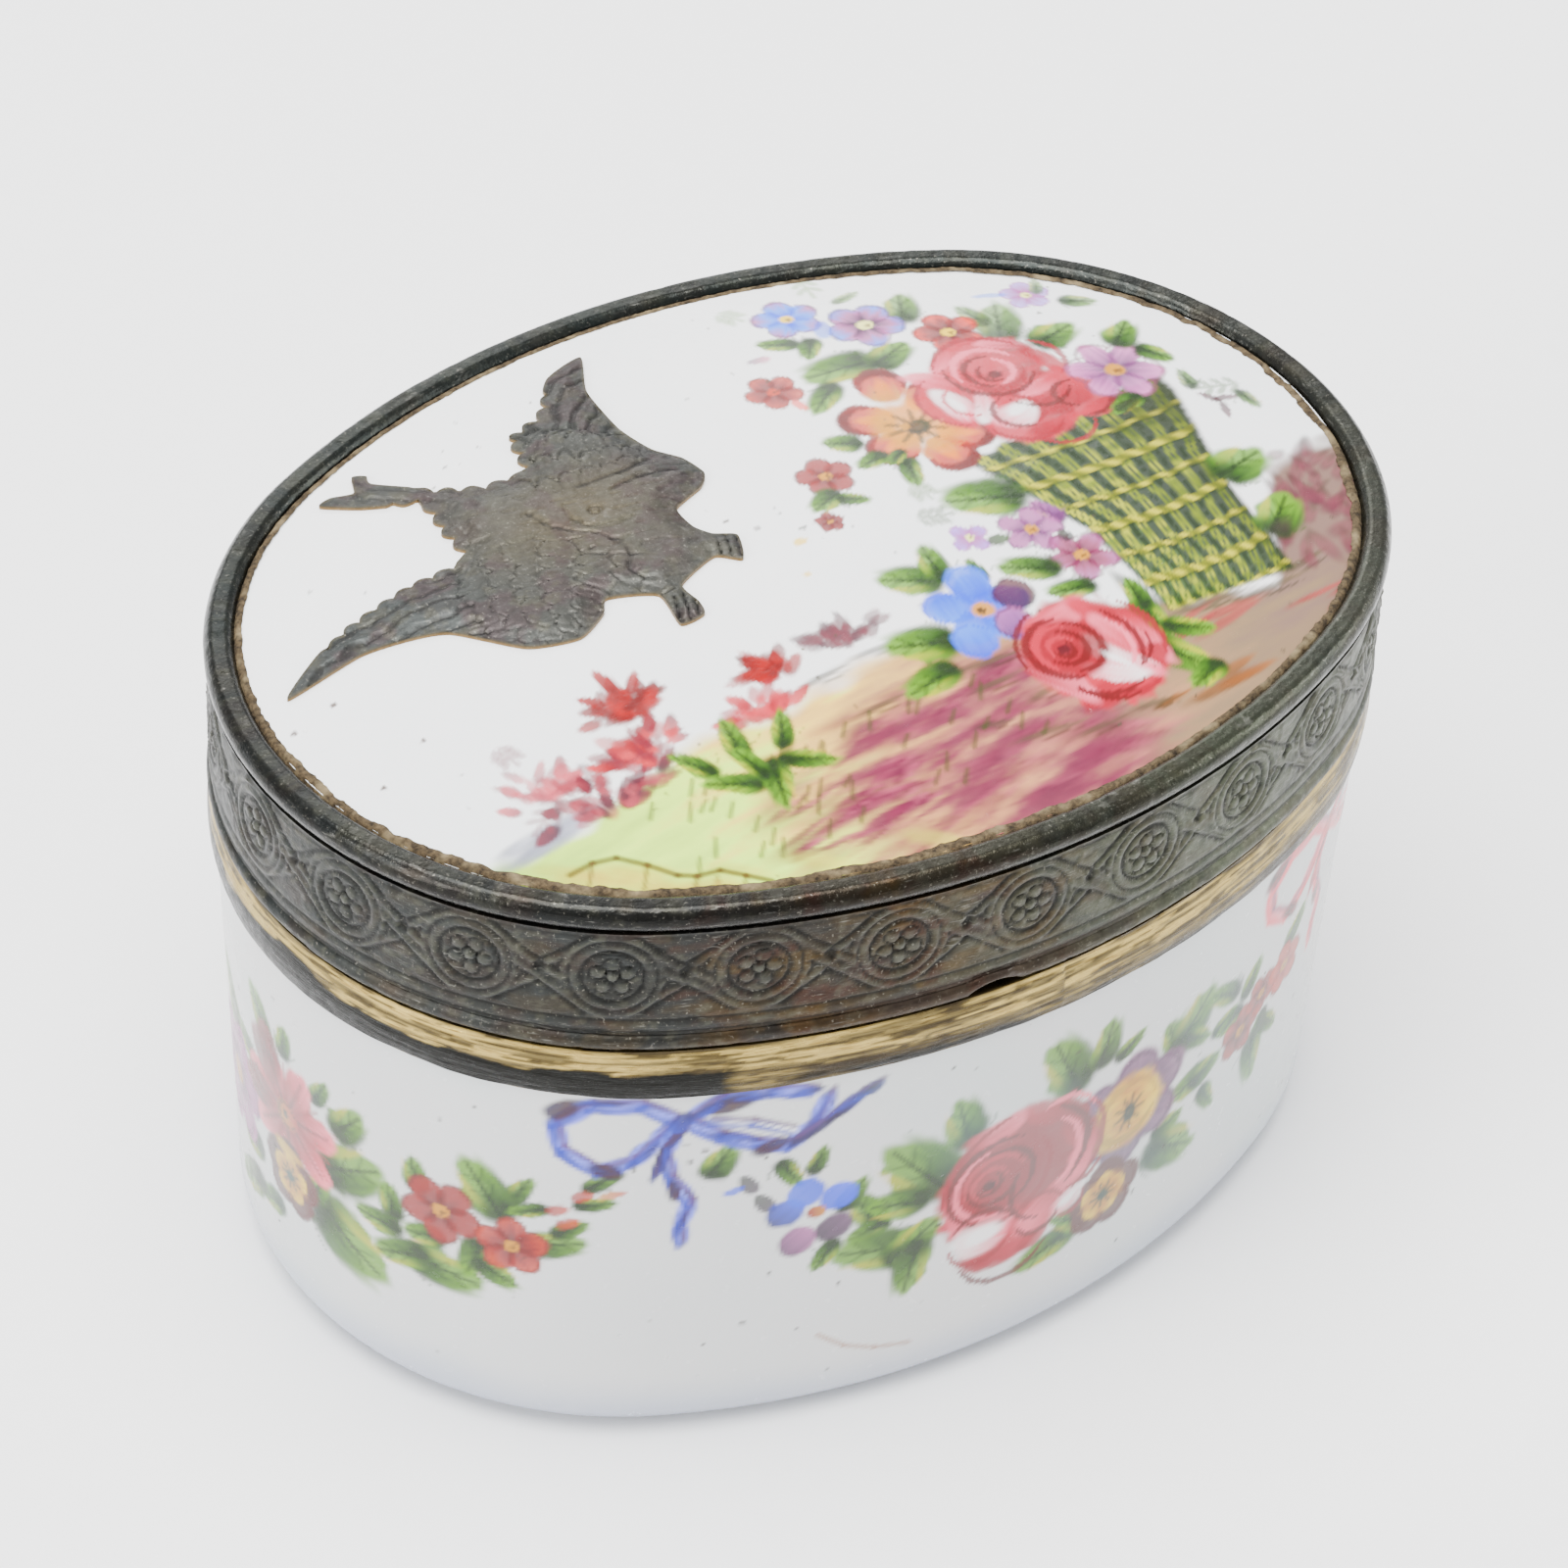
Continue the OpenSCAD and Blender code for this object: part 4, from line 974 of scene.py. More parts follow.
def make_piece(name, points, faces, body, node, material, colours=None, sharp=None):
    """A mesh piece from points in millimetres, turned outwards, that stands for a CAD node."""
    mesh = bpy.data.meshes.new(name)
    mesh.from_pydata((np.asarray(points) * MM).tolist(), [], faces)
    mesh.polygons.foreach_set("use_smooth", [True] * len(mesh.polygons))
    if sharp is not None:
        mesh.set_sharp_from_angle(angle=math.radians(sharp))
    if colours is not None:
        layer = mesh.color_attributes.new("paint", "FLOAT_COLOR", "POINT")
        rgba = np.ones((len(points), 4), np.float32)
        rgba[:, :3] = colours
        layer.data.foreach_set("color", rgba.ravel())
    mesh.materials.append(material)
    mesh.update()
    piece = bpy.data.objects.new(name, mesh)
    bpy.context.scene.collection.objects.link(piece)
    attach(piece, body)
    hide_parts(node)
    return piece


def ring_faces(rows, columns, closed_rows=True):
    """Quads over a grid of rows by columns, closed round its columns, and round its rows if asked."""
    index = np.arange(rows * columns).reshape(rows, columns)
    a = index if closed_rows else index[:-1]
    d = np.roll(index, -1, axis=0) if closed_rows else index[1:]
    b = np.roll(a, -1, axis=1)
    c = np.roll(d, -1, axis=1)
    return np.stack([a, b, c, d], -1).reshape(-1, 4)


def swept(section, s, push=None, lift=None):
    """Points of a section, as (offset, z) rows anticlockwise seen along +s, carried round the oval."""
    section = np.asarray(section, float)
    offset = np.repeat(section[:, :1], len(s), 1)
    z = np.repeat(section[:, 1:], len(s), 1)
    around = np.repeat(s[None, :], len(section), 0)
    if push is not None:
        offset = offset + push
    if lift is not None:
        z = z + lift
    x, y, _, _ = oval(around, offset)
    return np.stack([x, y, z], -1), around, offset, z


def arc(x, y, r, start, end, count):
    a = np.radians(np.linspace(start, end, count))
    return list(zip(x + r * np.cos(a), y + r * np.sin(a)))


def steps(a, b, count):
    """Points from a up to but not including b."""
    a = np.array(a, float)
    b = np.array(b, float)
    return [tuple(a + (b - a) * k / count) for k in range(count)]


# ---------------------------------------------------------------- material helpers


class Nodes:
    """Short-hand for building a material's node tree."""

    def __init__(self, name):
        self.material = bpy.data.materials.new(name)
        self.material.use_nodes = True
        self.tree = self.material.node_tree
        self.shader = self.tree.nodes["Principled BSDF"]

    def add(self, kind, inputs=None, **settings):
        n = self.tree.nodes.new(kind)
        for key, value in settings.items():
            setattr(n, key, value)
        for key, value in (inputs or {}).items():
            self.put(n.inputs[key], value)
        return n

    def put(self, socket, value):
        if isinstance(value, bpy.types.NodeSocket):
            self.tree.links.new(value, socket)
        else:
            socket.default_value = value

    def place(self, scale=(1, 1, 1)):
        """Where a point is on its piece, in millimetres times scale."""
        where = self.add("ShaderNodeTexCoord")
        stretch = self.add("ShaderNodeMapping", {"Vector": where.outputs["Object"],
                                                 "Scale": [k / MM for k in scale]})
        return stretch.outputs["Vector"]

    def noise(self, scale, detail=3.0, roughness=0.5, vector=None):
        n = self.add("ShaderNodeTexNoise", {"Vector": vector or self.place(), "Scale": scale,
                                            "Detail": detail, "Roughness": roughness})
        return n.outputs["Fac"]

    def span(self, value, low, high, to_low=0.0, to_high=1.0):
        n = self.add("ShaderNodeMapRange", {"Value": value, "From Min": low, "From Max": high,
                                            "To Min": to_low, "To Max": to_high})
        return n.outputs["Result"]

    def mix(self, factor, a, b, blend="MIX"):
        n = self.add("ShaderNodeMix", data_type="RGBA", blend_type=blend)
        colours = [k for k in n.inputs if k.type == "RGBA"]
        self.put(n.inputs["Factor"], factor)
        self.put(colours[0], a if isinstance(a, bpy.types.NodeSocket) else (*a, 1))
        self.put(colours[1], b if isinstance(b, bpy.types.NodeSocket) else (*b, 1))
        return [k for k in n.outputs if k.type == "RGBA"][0]

    def math(self, how, a, b):
        n = self.add("ShaderNodeMath", operation=how)
        self.put(n.inputs[0], a)
        self.put(n.inputs[1], b)
        return n.outputs["Value"]

    def paint(self):
        return self.add("ShaderNodeAttribute", attribute_name="paint").outputs["Color"]

    def bump(self, height, depth_mm, normal=None):
        n = self.add("ShaderNodeBump", {"Height": height, "Distance": depth_mm * MM})
        if normal is not None:
            self.put(n.inputs["Normal"], normal)
        return n.outputs["Normal"]

    def finish(self, **inputs):
        for key, value in inputs.items():
            self.put(self.shader.inputs[key.replace("_", " ")], value)
        return self.material


def painted_enamel_material():
    """White glaze over the painting: glossy, faintly uneven, with fine pinholes."""
    m = Nodes("painted_enamel")
    broad = m.noise(0.09, 3.0)
    tone = m.mix(m.span(broad, 0.35, 0.7), (1.0, 1.0, 1.0), (0.955, 0.975, 0.985))
    colour = m.mix(1.0, m.paint(), tone, "MULTIPLY")
    pits = m.add("ShaderNodeTexVoronoi", {"Vector": m.place(), "Scale": 0.42, "Randomness": 1.0})
    pit = m.span(pits.outputs["Distance"], 0.045, 0.02)
    sparse = m.span(m.noise(0.35, 2.0), 0.56, 0.62)
    colour = m.mix(m.math("MULTIPLY", pit, sparse), colour, (0.16, 0.13, 0.09))
    ripple = m.bump(m.noise(0.5, 2.0), 0.05)
    fine = m.bump(m.noise(5.0, 2.0), 0.006, ripple)
    hole = m.bump(pit, -0.02, fine)
    rough = m.span(m.noise(1.6, 4.0), 0.3, 0.75, 0.14, 0.3)
    return m.finish(Base_Color=colour, Roughness=rough, Normal=hole, Specular_IOR_Level=0.3)


def plain_enamel_material():
    """Counter-enamel inside the box and under the plaque: greyish white with a speckle."""
    m = Nodes("plain_enamel")
    speck = m.span(m.noise(4.2, 3.0), 0.66, 0.74)
    cloud = m.mix(m.span(m.noise(0.16, 3.0), 0.3, 0.7), (0.78, 0.81, 0.82), (0.7, 0.75, 0.78))
    colour = m.mix(speck, cloud, (0.42, 0.45, 0.48))
    ripple = m.bump(m.noise(0.45, 2.0), 0.06)
    rough = m.span(m.noise(1.2, 3.0), 0.3, 0.7, 0.16, 0.34)
    return m.finish(Base_Color=colour, Roughness=rough, Normal=ripple, Coat_Weight=0.2, Coat_Roughness=0.1)


def tarnished_material(name, rough_low, rough_high, scratch=0.16):
    """Old silver under sulphide: its patches come with the mesh, the shader adds grain and scratches."""
    m = Nodes(name)
    grain = m.span(m.noise(3.5, 5.0, 0.65), 0.3, 0.75)
    colour = m.mix(grain, m.mix(1.0, m.paint(), (0.72, 0.7, 0.66), "MULTIPLY"),
                   m.mix(1.0, m.paint(), (1.16, 1.16, 1.14), "MULTIPLY"))
    rub = m.noise(1.0, 3.0, 0.5, m.place((1.3, 1.3, 11.0)))
    bright = m.math("MULTIPLY", m.span(rub, 0.6, 0.72), m.span(m.noise(0.7, 2.0), 0.45, 0.65))
    colour = m.mix(m.math("MULTIPLY", bright, scratch), colour, (0.5, 0.49, 0.44))
    dust = m.span(m.noise(7.0, 3.0, 0.6), 0.62, 0.78)
    colour = m.mix(m.math("MULTIPLY", dust, 0.4), colour, (0.33, 0.31, 0.26))
    relief = m.bump(m.noise(6.0, 4.0, 0.6), 0.018)
    relief = m.bump(rub, 0.012, relief)
    rough = m.span(m.noise(2.2, 4.0), 0.25, 0.75, rough_low, rough_high)
    return m.finish(Base_Color=colour, Roughness=rough, Metallic=0.82, Normal=relief)


def gilt_material():
    """Worn gilding: pale gold with dark drawn scratches, black tarnish where the mesh says so."""
    m = Nodes("worn_gilt")
    drawn = m.noise(1.0, 4.0, 0.6, m.place((0.9, 0.9, 14.0)))
    colour = m.mix(m.span(drawn, 0.5, 0.68), m.paint(), m.mix(1.0, m.paint(), (0.5, 0.44, 0.34), "MULTIPLY"))
    fine = m.noise(1.0, 2.0, 0.5, m.place((3.0, 3.0, 34.0)))
    colour = m.mix(m.span(fine, 0.62, 0.75), colour, m.mix(1.0, m.paint(), (0.45, 0.38, 0.28), "MULTIPLY"))
    relief = m.bump(drawn, 0.02)
    relief = m.bump(fine, 0.01, relief)
    rough = m.span(m.noise(2.0, 4.0), 0.3, 0.7, 0.22, 0.42)
    return m.finish(Base_Color=colour, Roughness=rough, Metallic=0.88, Normal=relief)


def crust_material():
    """Dry brown cement with dirt in it."""
    m = Nodes("cement_crust")
    lumps = m.noise(4.0, 5.0, 0.65)
    colour = m.mix(m.span(lumps, 0.35, 0.7), (0.018, 0.013, 0.008), (0.1, 0.07, 0.036))
    colour = m.mix(m.span(m.noise(1.1, 3.0), 0.5, 0.7), colour, (0.17, 0.13, 0.07))
    return m.finish(Base_Color=colour, Roughness=0.95, Normal=m.bump(lumps, 0.12), Specular_IOR_Level=0.2)


def metal_material(name, dark, light, rough_low, rough_high, stretch=(1.2, 1.2, 1.2)):
    """Plain worked metal for the pieces taken over from the CAD model."""
    m = Nodes(name)
    cloud = m.noise(1.0, 5.0, 0.6, m.place(stretch))
    colour = m.mix(m.span(cloud, 0.3, 0.72), dark, light)
    spots = m.span(m.noise(2.6, 4.0, 0.6), 0.58, 0.7)
    colour = m.mix(m.math("MULTIPLY", spots, 0.55), colour, tuple(k * 0.45 for k in dark))
    relief = m.bump(m.noise(5.0, 3.0, 0.6), 0.012)
    rough = m.span(m.noise(2.0, 4.0), 0.3, 0.7, rough_low, rough_high)
    return m.finish(Base_Color=colour, Roughness=rough, Metallic=0.9, Normal=relief)


# ---------------------------------------------------------------- the box


def uneven_steps(parts):
    """Places round the oval from (start, end, spacing) parts that follow one another."""
    places = []
    for start, end, spacing in parts:
        count = int(round((end - start) / spacing))
        places += list(start + (end - start) * np.arange(count) / count)
    return np.array(places)


FINE_END = 22.0                 # the mesh is finest from the left of the front up to here
FRONT_END = 44.0                # and coarse beyond this on either side


def build_outer_enamel(material):
    """The painted layer of the bowl: wall, rounded foot and floor, with the copper's side closed off."""
    s = uneven_steps([(-FRONT_END, FINE_END, 0.15), (FINE_END, FRONT_END, 0.24),
                      (FRONT_END, ROUND - FRONT_END, 0.3)])
    lean = FOOT_INSET - WALL_INSET
    wall = [(-FOOT_INSET + lean * t, FOOT_R + (COLLAR_LOW - FOOT_R) * t) for t in np.linspace(0, 1, 118)]
    outer = arc(-FOOT_INSET - FOOT_R, FOOT_R, FOOT_R, -90, 0, 10)[:-1] + wall
    outer += [(-WALL_INSET, BOWL_TOP - 0.9), (-WALL_INSET, BOWL_TOP)]
    inner = [(-WALL_INSET - ENAMEL_T, BOWL_TOP), (-WALL_INSET - ENAMEL_T, COLLAR_LOW),
             (-FOOT_INSET - ENAMEL_T, FOOT_R)]
    inner += arc(-FOOT_INSET - FOOT_R, FOOT_R, FOOT_R - ENAMEL_T, 0, -90, 5)[1:]
    rows = outer + inner
    _, around, _, z = swept(rows, s)
    # the glaze is hand laid, so its face wavers a little, always inwards
    face = np.zeros(len(rows))
    face[9:len(outer) - 2] = 1
    waver = -0.05 * fbm(around * 0.12, z * 0.12, 81) * face[:, None]
    points, around, _, z = swept(rows, s, push=waver)
    # the bowl's white is painted darker than the lid's, as shade on its upright wall
    art = Canvas(front_s(around[:len(outer)].ravel()), z[:len(outer)].ravel(), BOWL_LIGHT, BOWL_SHADED_WHITE, 1.4)
    paint_bowl(art)
    colours = np.full((points.shape[0] * points.shape[1], 3), BOWL_SHADED_WHITE)
    colours[:len(art.rgb)] = art.rgb
    # floor: rows that shrink to the middle, under and inside
    inward = (0.66, 0.33)
    edge_low = points[0]
    edge_high = points[-1]
    floor_low = np.array([edge_low * (t, t, 1) for t in inward])
    floor_high = np.array([edge_high * (t, t, 1) for t in reversed(inward)])
    grid = np.concatenate([floor_low[::-1], points, floor_high[::-1]])
    columns = len(s)
    faces = ring_faces(len(grid), columns, closed_rows=False).tolist()
    middle_low = grid.shape[0] * columns
    middle_high = middle_low + 1
    last = (grid.shape[0] - 1) * columns
    for k in range(columns):
        following = (k + 1) % columns
        faces.append([following, k, middle_low])
        faces.append([last + k, last + following, middle_high])
    flat = np.concatenate([grid.reshape(-1, 3), [[0, 0, edge_low[0, 2]], [0, 0, edge_high[0, 2]]]])
    white = np.full((2 * columns, 3), BOWL_SHADED_WHITE)
    colours = np.concatenate([white, colours, white, white[:2]])
    return make_piece("painted_bowl", flat, faces, "box", "outer_enamel", material,
                      colours, sharp=50)


def build_collar(material):
    """Rounded gilt collar with drawn scratches, black below where the tarnish has kept."""
    s = np.arange(1100) * ROUND / 1100
    proud_z = COLLAR_LOW + 0.4 * (COLLAR_TOP - COLLAR_LOW)
    face_r = 5.0
    low_a = -math.degrees(math.asin((proud_z - COLLAR_LOW) / face_r))
    high_a = math.degrees(math.asin((COLLAR_TOP - 0.12 - proud_z) / face_r))
    face = arc(-face_r, proud_z, face_r, low_a, high_a, 26)
    turned = [(face[-1][0] - 0.04, COLLAR_TOP - 0.04), (face[-1][0] - 0.12, COLLAR_TOP)]
    back = -0.2
    flange_in = -1.6
    flange_low = COLLAR_TOP - 0.4
    flange = [(flange_in, COLLAR_TOP), (flange_in, flange_low), (back, flange_low)]
    rows = face + turned + flange + steps((back, COLLAR_TOP - 0.9), (back, COLLAR_LOW),
                                          2) + [(back, COLLAR_LOW)]
    count = len(face)
    _, around, _, z = swept(rows, s)
    on_face = np.zeros((len(rows), 1))
    on_face[:count] = 1
    drawn = 0.024 * (fbm(around * 0.35, z * 9, 91) - 1) - 0.02 * smooth(fbm(around * 0.6, z * 22, 93), 0.6,
                                                                        0.75)
    hollow = -0.06 * smooth(fbm(around * 0.09, z * 0.5, 94), 0.35, 0.8)
    low_edge = np.zeros((len(rows), 1))
    low_edge[:6, 0] = np.linspace(1, 0, 6)
    low_edge[-1] = 1
    wave = low_edge * 0.14 * smooth(fbm(around * 0.16, z * 0, 95), 0.3, 0.8)
    points, around, _, z = swept(rows, s, push=(drawn + hollow) * on_face, lift=wave)
    front = front_s(around)
    gold = metal((228, 222, 186), GILT_LIGHT)
    dull = metal((170, 158, 122), GILT_LIGHT)
    brown = metal((122, 106, 78), GILT_LIGHT)
    black = metal((58, 58, 52), GILT_LIGHT)
    rgb = np.broadcast_to(gold, points.shape).copy()

    def over(mask, colour):
        rgb[...] += mask[..., None] * (colour - rgb)

    over(smooth(fbm(around * 0.3, z * 6, 101), 0.42, 0.62) * 0.8, dull)
    over(smooth(fbm(around * 0.5, z * 14, 102), 0.54, 0.64) * 0.85, brown)
    # left of the front: black up to an uneven line; right of it: brown and grey, less sharply
    line_z = COLLAR_LOW + 1.35 + 0.7 * (fbm(front * 0.5, front * 0,
                                            103) - 0.5) + 0.5 * np.exp(-((front + 33) / 1.5) ** 2)
    on_left = smooth(front, -46, -40) * (1 - smooth(front, -14.5, -13.2))
    over(on_left * (1 - smooth(z, line_z - 0.05, line_z + 0.08)), black)
    line_z = COLLAR_LOW + 0.95 + 0.8 * (fbm(front * 0.4, front * 0 + 7, 104) - 0.5)
    elsewhere = (1 - on_left) * (0.55 + 0.45 * smooth(fbm(front * 0.3, z * 2, 105), 0.3, 0.7))
    over(elsewhere * (1 - smooth(z, line_z - 0.1, line_z + 0.35)), brown)
    over(elsewhere * (1 - smooth(z - COLLAR_LOW, 0.3, 0.75)) * smooth(fbm(front * 0.4, z, 106), 0.35, 0.6),
         black)
    over(smooth(z, COLLAR_TOP - 0.16, COLLAR_TOP - 0.02) * 0.75, brown)
    far = smooth(np.abs(front), 40, 60)
    over(far * 0.6 * smooth(fbm(front * 0.25, z * 3, 107), 0.35, 0.65), brown)
    return make_piece("gilt_collar", points.reshape(-1, 3), ring_faces(len(rows), len(s)).tolist(), "box",
                      "collar_band", material, rgb.reshape(-1, 3), sharp=40)


# ---------------------------------------------------------------- the lid

ROSETTES = 25
ROSETTE_S = -2.0                # one rosette's middle is here
ROSETTE_Z = LID_LOW + 3.85
LOOP_R = 1.8                    # strap's middle line round a rosette


def ridge(d, half):
    return np.exp(-(d / half) ** 2)


def frieze_height(s, z):
    """Height of the chased frieze over its ground: rosettes in rings, with a double strap between them."""
    pitch = ROUND / ROSETTES
    cell = np.round((s - ROSETTE_S) / pitch)
    wander = 0.1 * np.sin(cell * 2.3) - 0.04
    a = s - ROSETTE_S - cell * pitch
    b = z - ROSETTE_Z - 0.6 * wander
    rad = np.hypot(a, b * 0.97)
    angle = np.arctan2(b, a)
    height = np.zeros_like(a)
    # two straps wave from above one rosette to below the next
    swing = math.pi * a / pitch
    pinch = 0.1 * LOOP_R
    wave = (LOOP_R - pinch) * np.cos(swing) + pinch * np.cos(3 * swing)
    slope = ((LOOP_R - pinch) * np.sin(swing) + 3 * pinch * np.sin(3 * swing)) * math.pi / pitch
    steep = np.sqrt(1 + slope ** 2)
    upper = (b - wave) / steep
    lower = (b + wave) / steep

    def strap(d):
        return 0.06 * ridge(np.abs(d) - 0.26, 0.1) - 0.02 * ridge(d, 0.09) - 0.06 * ridge(np.abs(d) - 0.5,
                                                                                          0.09)

    over = np.where(a > 0, upper, lower)
    under = np.where(a > 0, lower, upper)
    height += strap(over)
    height += strap(under) * smooth(np.abs(over), 0.36, 0.52)
    # ring and rosette
    inside = 1 - smooth(rad, 1.1, 1.2)
    height = height * smooth(rad, 1.8, 2.0)
    height += 0.05 * ridge(rad - 1.53, 0.08) - 0.045 * ridge(rad - 1.7, 0.07) + 0.05 * ridge(rad - 1.88, 0.08)
    height += -0.05 * ridge(rad - 2.06, 0.07) * smooth(np.abs(over), 0.25, 0.5)
    height += -0.09 * ridge(rad - 1.2, 0.09) + 0.04 * ridge(rad - 1.4, 0.07) + 0.03 * ridge(rad - 1.02, 0.07)
    turn = 0.35 * np.sin(cell * 1.7)
    five = 2 * math.pi / 5
    leaf_angle = (angle - turn + five / 2) % five - five / 2
    px = rad * np.cos(leaf_angle) - 0.6
    py = rad * np.sin(leaf_angle)
    petal = 1 - smooth(np.hypot(px / 0.34, py / 0.3), 0.55, 1.05)
    outline = ridge(np.hypot(px / 0.34, py / 0.3) - 1.0, 0.22)
    height += (0.06 * petal - 0.07 * outline * (1 - petal)) * inside * (1 - smooth(rad, 0.95, 1.02))
    height += 0.09 * (1 - smooth(rad, 0.14, 0.27)) - 0.06 * ridge(rad - 0.3, 0.05)
    # punched dot where the straps cross
    half = pitch / 2
    dot = np.hypot(np.abs(a) - half, b - 0.25)
    height += -0.13 * (1 - smooth(dot, 0.14, 0.3)) + 0.035 * ridge(dot - 0.36, 0.08)
    # short curls that spring from the straps
    for cx, cz, r in ((1.75, 1.55, 0.5), (-1.75, -1.55, 0.5)):
        d = np.hypot(a - cx, b - cz) - r
        height += 0.035 * ridge(d, 0.07) * smooth(np.abs(upper), 0.3, 0.5) * smooth(np.abs(lower), 0.3, 0.5)
    return height


def band_patina(front, z, height, seed, light):
    """Colour of the lid's silver: grey-black at the left, rusty in the middle, grey-green at the right."""
    marks = [-60, -42, -30, -20, -14, -10, -6, 0, 8, 18, 40, 60]
    tones = [(100, 102, 98), (96, 100, 98), (92, 95, 92), (84, 86, 83), (82, 78, 72), (100, 86, 66),
             (112, 104, 82),
             (124, 126, 108), (140, 146, 128), (146, 150, 138), (112, 112, 106), (100, 102, 98)]
    table = metal(np.array(tones), light)
    shifted = front + 2.5 * (fbm(front * 0.3, z * 0.9, seed) - 0.5)
    rgb = np.stack([np.interp(shifted, marks, table[:, k]) for k in range(3)], -1)

    def over(mask, colour):
        rgb[...] += mask[..., None] * (metal(colour, light) - rgb)

    blotch = fbm(front * 0.8, z * 1.3, seed + 1)
    near_middle = np.exp(-((front + 9) / 8) ** 2)
    over(smooth(blotch, 0.48, 0.68) * (0.2 + 0.65 * near_middle), (112, 74, 56))
    over(smooth(fbm(front * 0.6, z * 1.1, seed + 2), 0.52, 0.7) * (0.15 + 0.5 * near_middle), (136, 114, 62))
    over(smooth(fbm(front * 0.7, z * 1.6, seed + 3), 0.5, 0.75) * 0.4, (74, 84, 88))
    over(smooth(fbm(front * 2.2, z * 2.6, seed + 4), 0.58, 0.72) * 0.35, (150, 150, 136))
    over(smooth(-height, 0.0, 0.05) * 0.85, (26, 27, 24))
    over(smooth(height, 0.02, 0.08) * 0.6, (150, 152, 142))
    return rgb


NOTCH_X = -3.3                  # fingernail notch in the lid's lower edge: place, width and height
NOTCH_W = 2.4
NOTCH_H = 0.4


def build_lid_band(material):
    """The chased silver band: bead, groove lines and the looped frieze, with a fingernail notch."""
    columns = 1080
    s = np.arange(columns) * ROUND / columns
    bead_r = 0.42
    bead = arc(-bead_r, LID_LOW + bead_r * math.sin(math.radians(60)), bead_r, -60, 60, 9)
    start = (-0.15, LID_LOW + 2 * bead_r)
    frieze = [(-0.15, z) for z in np.linspace(start[1], BAND_TOP, 50)]
    inside = [(-BAND_T, z) for z in (BAND_TOP, LID_LOW + 3.9, LID_LOW + 1.9, LID_LOW)]
    rows = bead + frieze + inside
    first = len(bead)
    _, around, _, z = swept(rows, s)
    height = frieze_height(front_s(around), z) * (0.75 + 0.35 * fbm(around * 0.4, z * 0.4, 111))
    # plain lines under the frieze (groove, raised line, groove) and one groove over it
    up = z - LID_LOW
    height = height * smooth(up, 1.7, 2.0) * (1 - smooth(up, 5.65, 5.85))
    height += -0.05 * ridge(up - 1.6, 0.07) + 0.035 * ridge(up - 1.28, 0.13) - 0.06 * ridge(up - 0.94, 0.07)
    height += -0.045 * ridge(up - 5.8, 0.06)
    height += 0.016 * (fbm(around * 1.6, z * 1.6, 113) - 0.6)
    height -= 0.02 * smooth(fbm(around * 1.1, z * 3.0, 114), 0.62, 0.75)
    mask = np.zeros((len(rows), 1))
    mask[first:first + len(frieze)] = 1
    bead_mask = np.zeros((len(rows), 1))
    bead_mask[:first] = 1
    worn = -0.05 * fbm(around * 0.5, z * 1.5, 115) - 0.035 * smooth(fbm(around * 1.3, z * 5, 116), 0.55, 0.7)
    push = height * mask + worn * bead_mask
    # a shallow wave along the lower edge, and the notch
    x, _, _, ny = oval(around)
    notch_r = (NOTCH_W ** 2 / 4 + NOTCH_H ** 2) / (2 * NOTCH_H)
    inside_notch = np.clip(notch_r ** 2 - (x - NOTCH_X) ** 2, 0, None)
    rise = np.where(ny < 0, np.clip(np.sqrt(inside_notch) - notch_r + NOTCH_H, 0, None), 0)
    lift = rise * np.clip(1 - (z - LID_LOW) / 1.1, 0, 1)
    points, around, _, z = swept(rows, s, push=push, lift=lift)
    shade = np.where(mask > 0, height, np.where(bead_mask > 0, 0.02 + worn * 0.6, -0.03))
    front = front_s(around)
    rgb = band_patina(front, z, shade, 121, METAL_LIGHT)
    red = np.exp(-((front + 4) / 7) ** 2) * (1 - smooth(z - LID_LOW, 0.8, 1.3)) * 0.6
    rgb += red[..., None] * (metal((104, 74, 62), METAL_LIGHT) - rgb)
    return make_piece("chased_band", points.reshape(-1, 3), ring_faces(len(rows), columns).tolist(), "lid",
                      "lid_band", material, rgb.reshape(-1, 3), sharp=60)


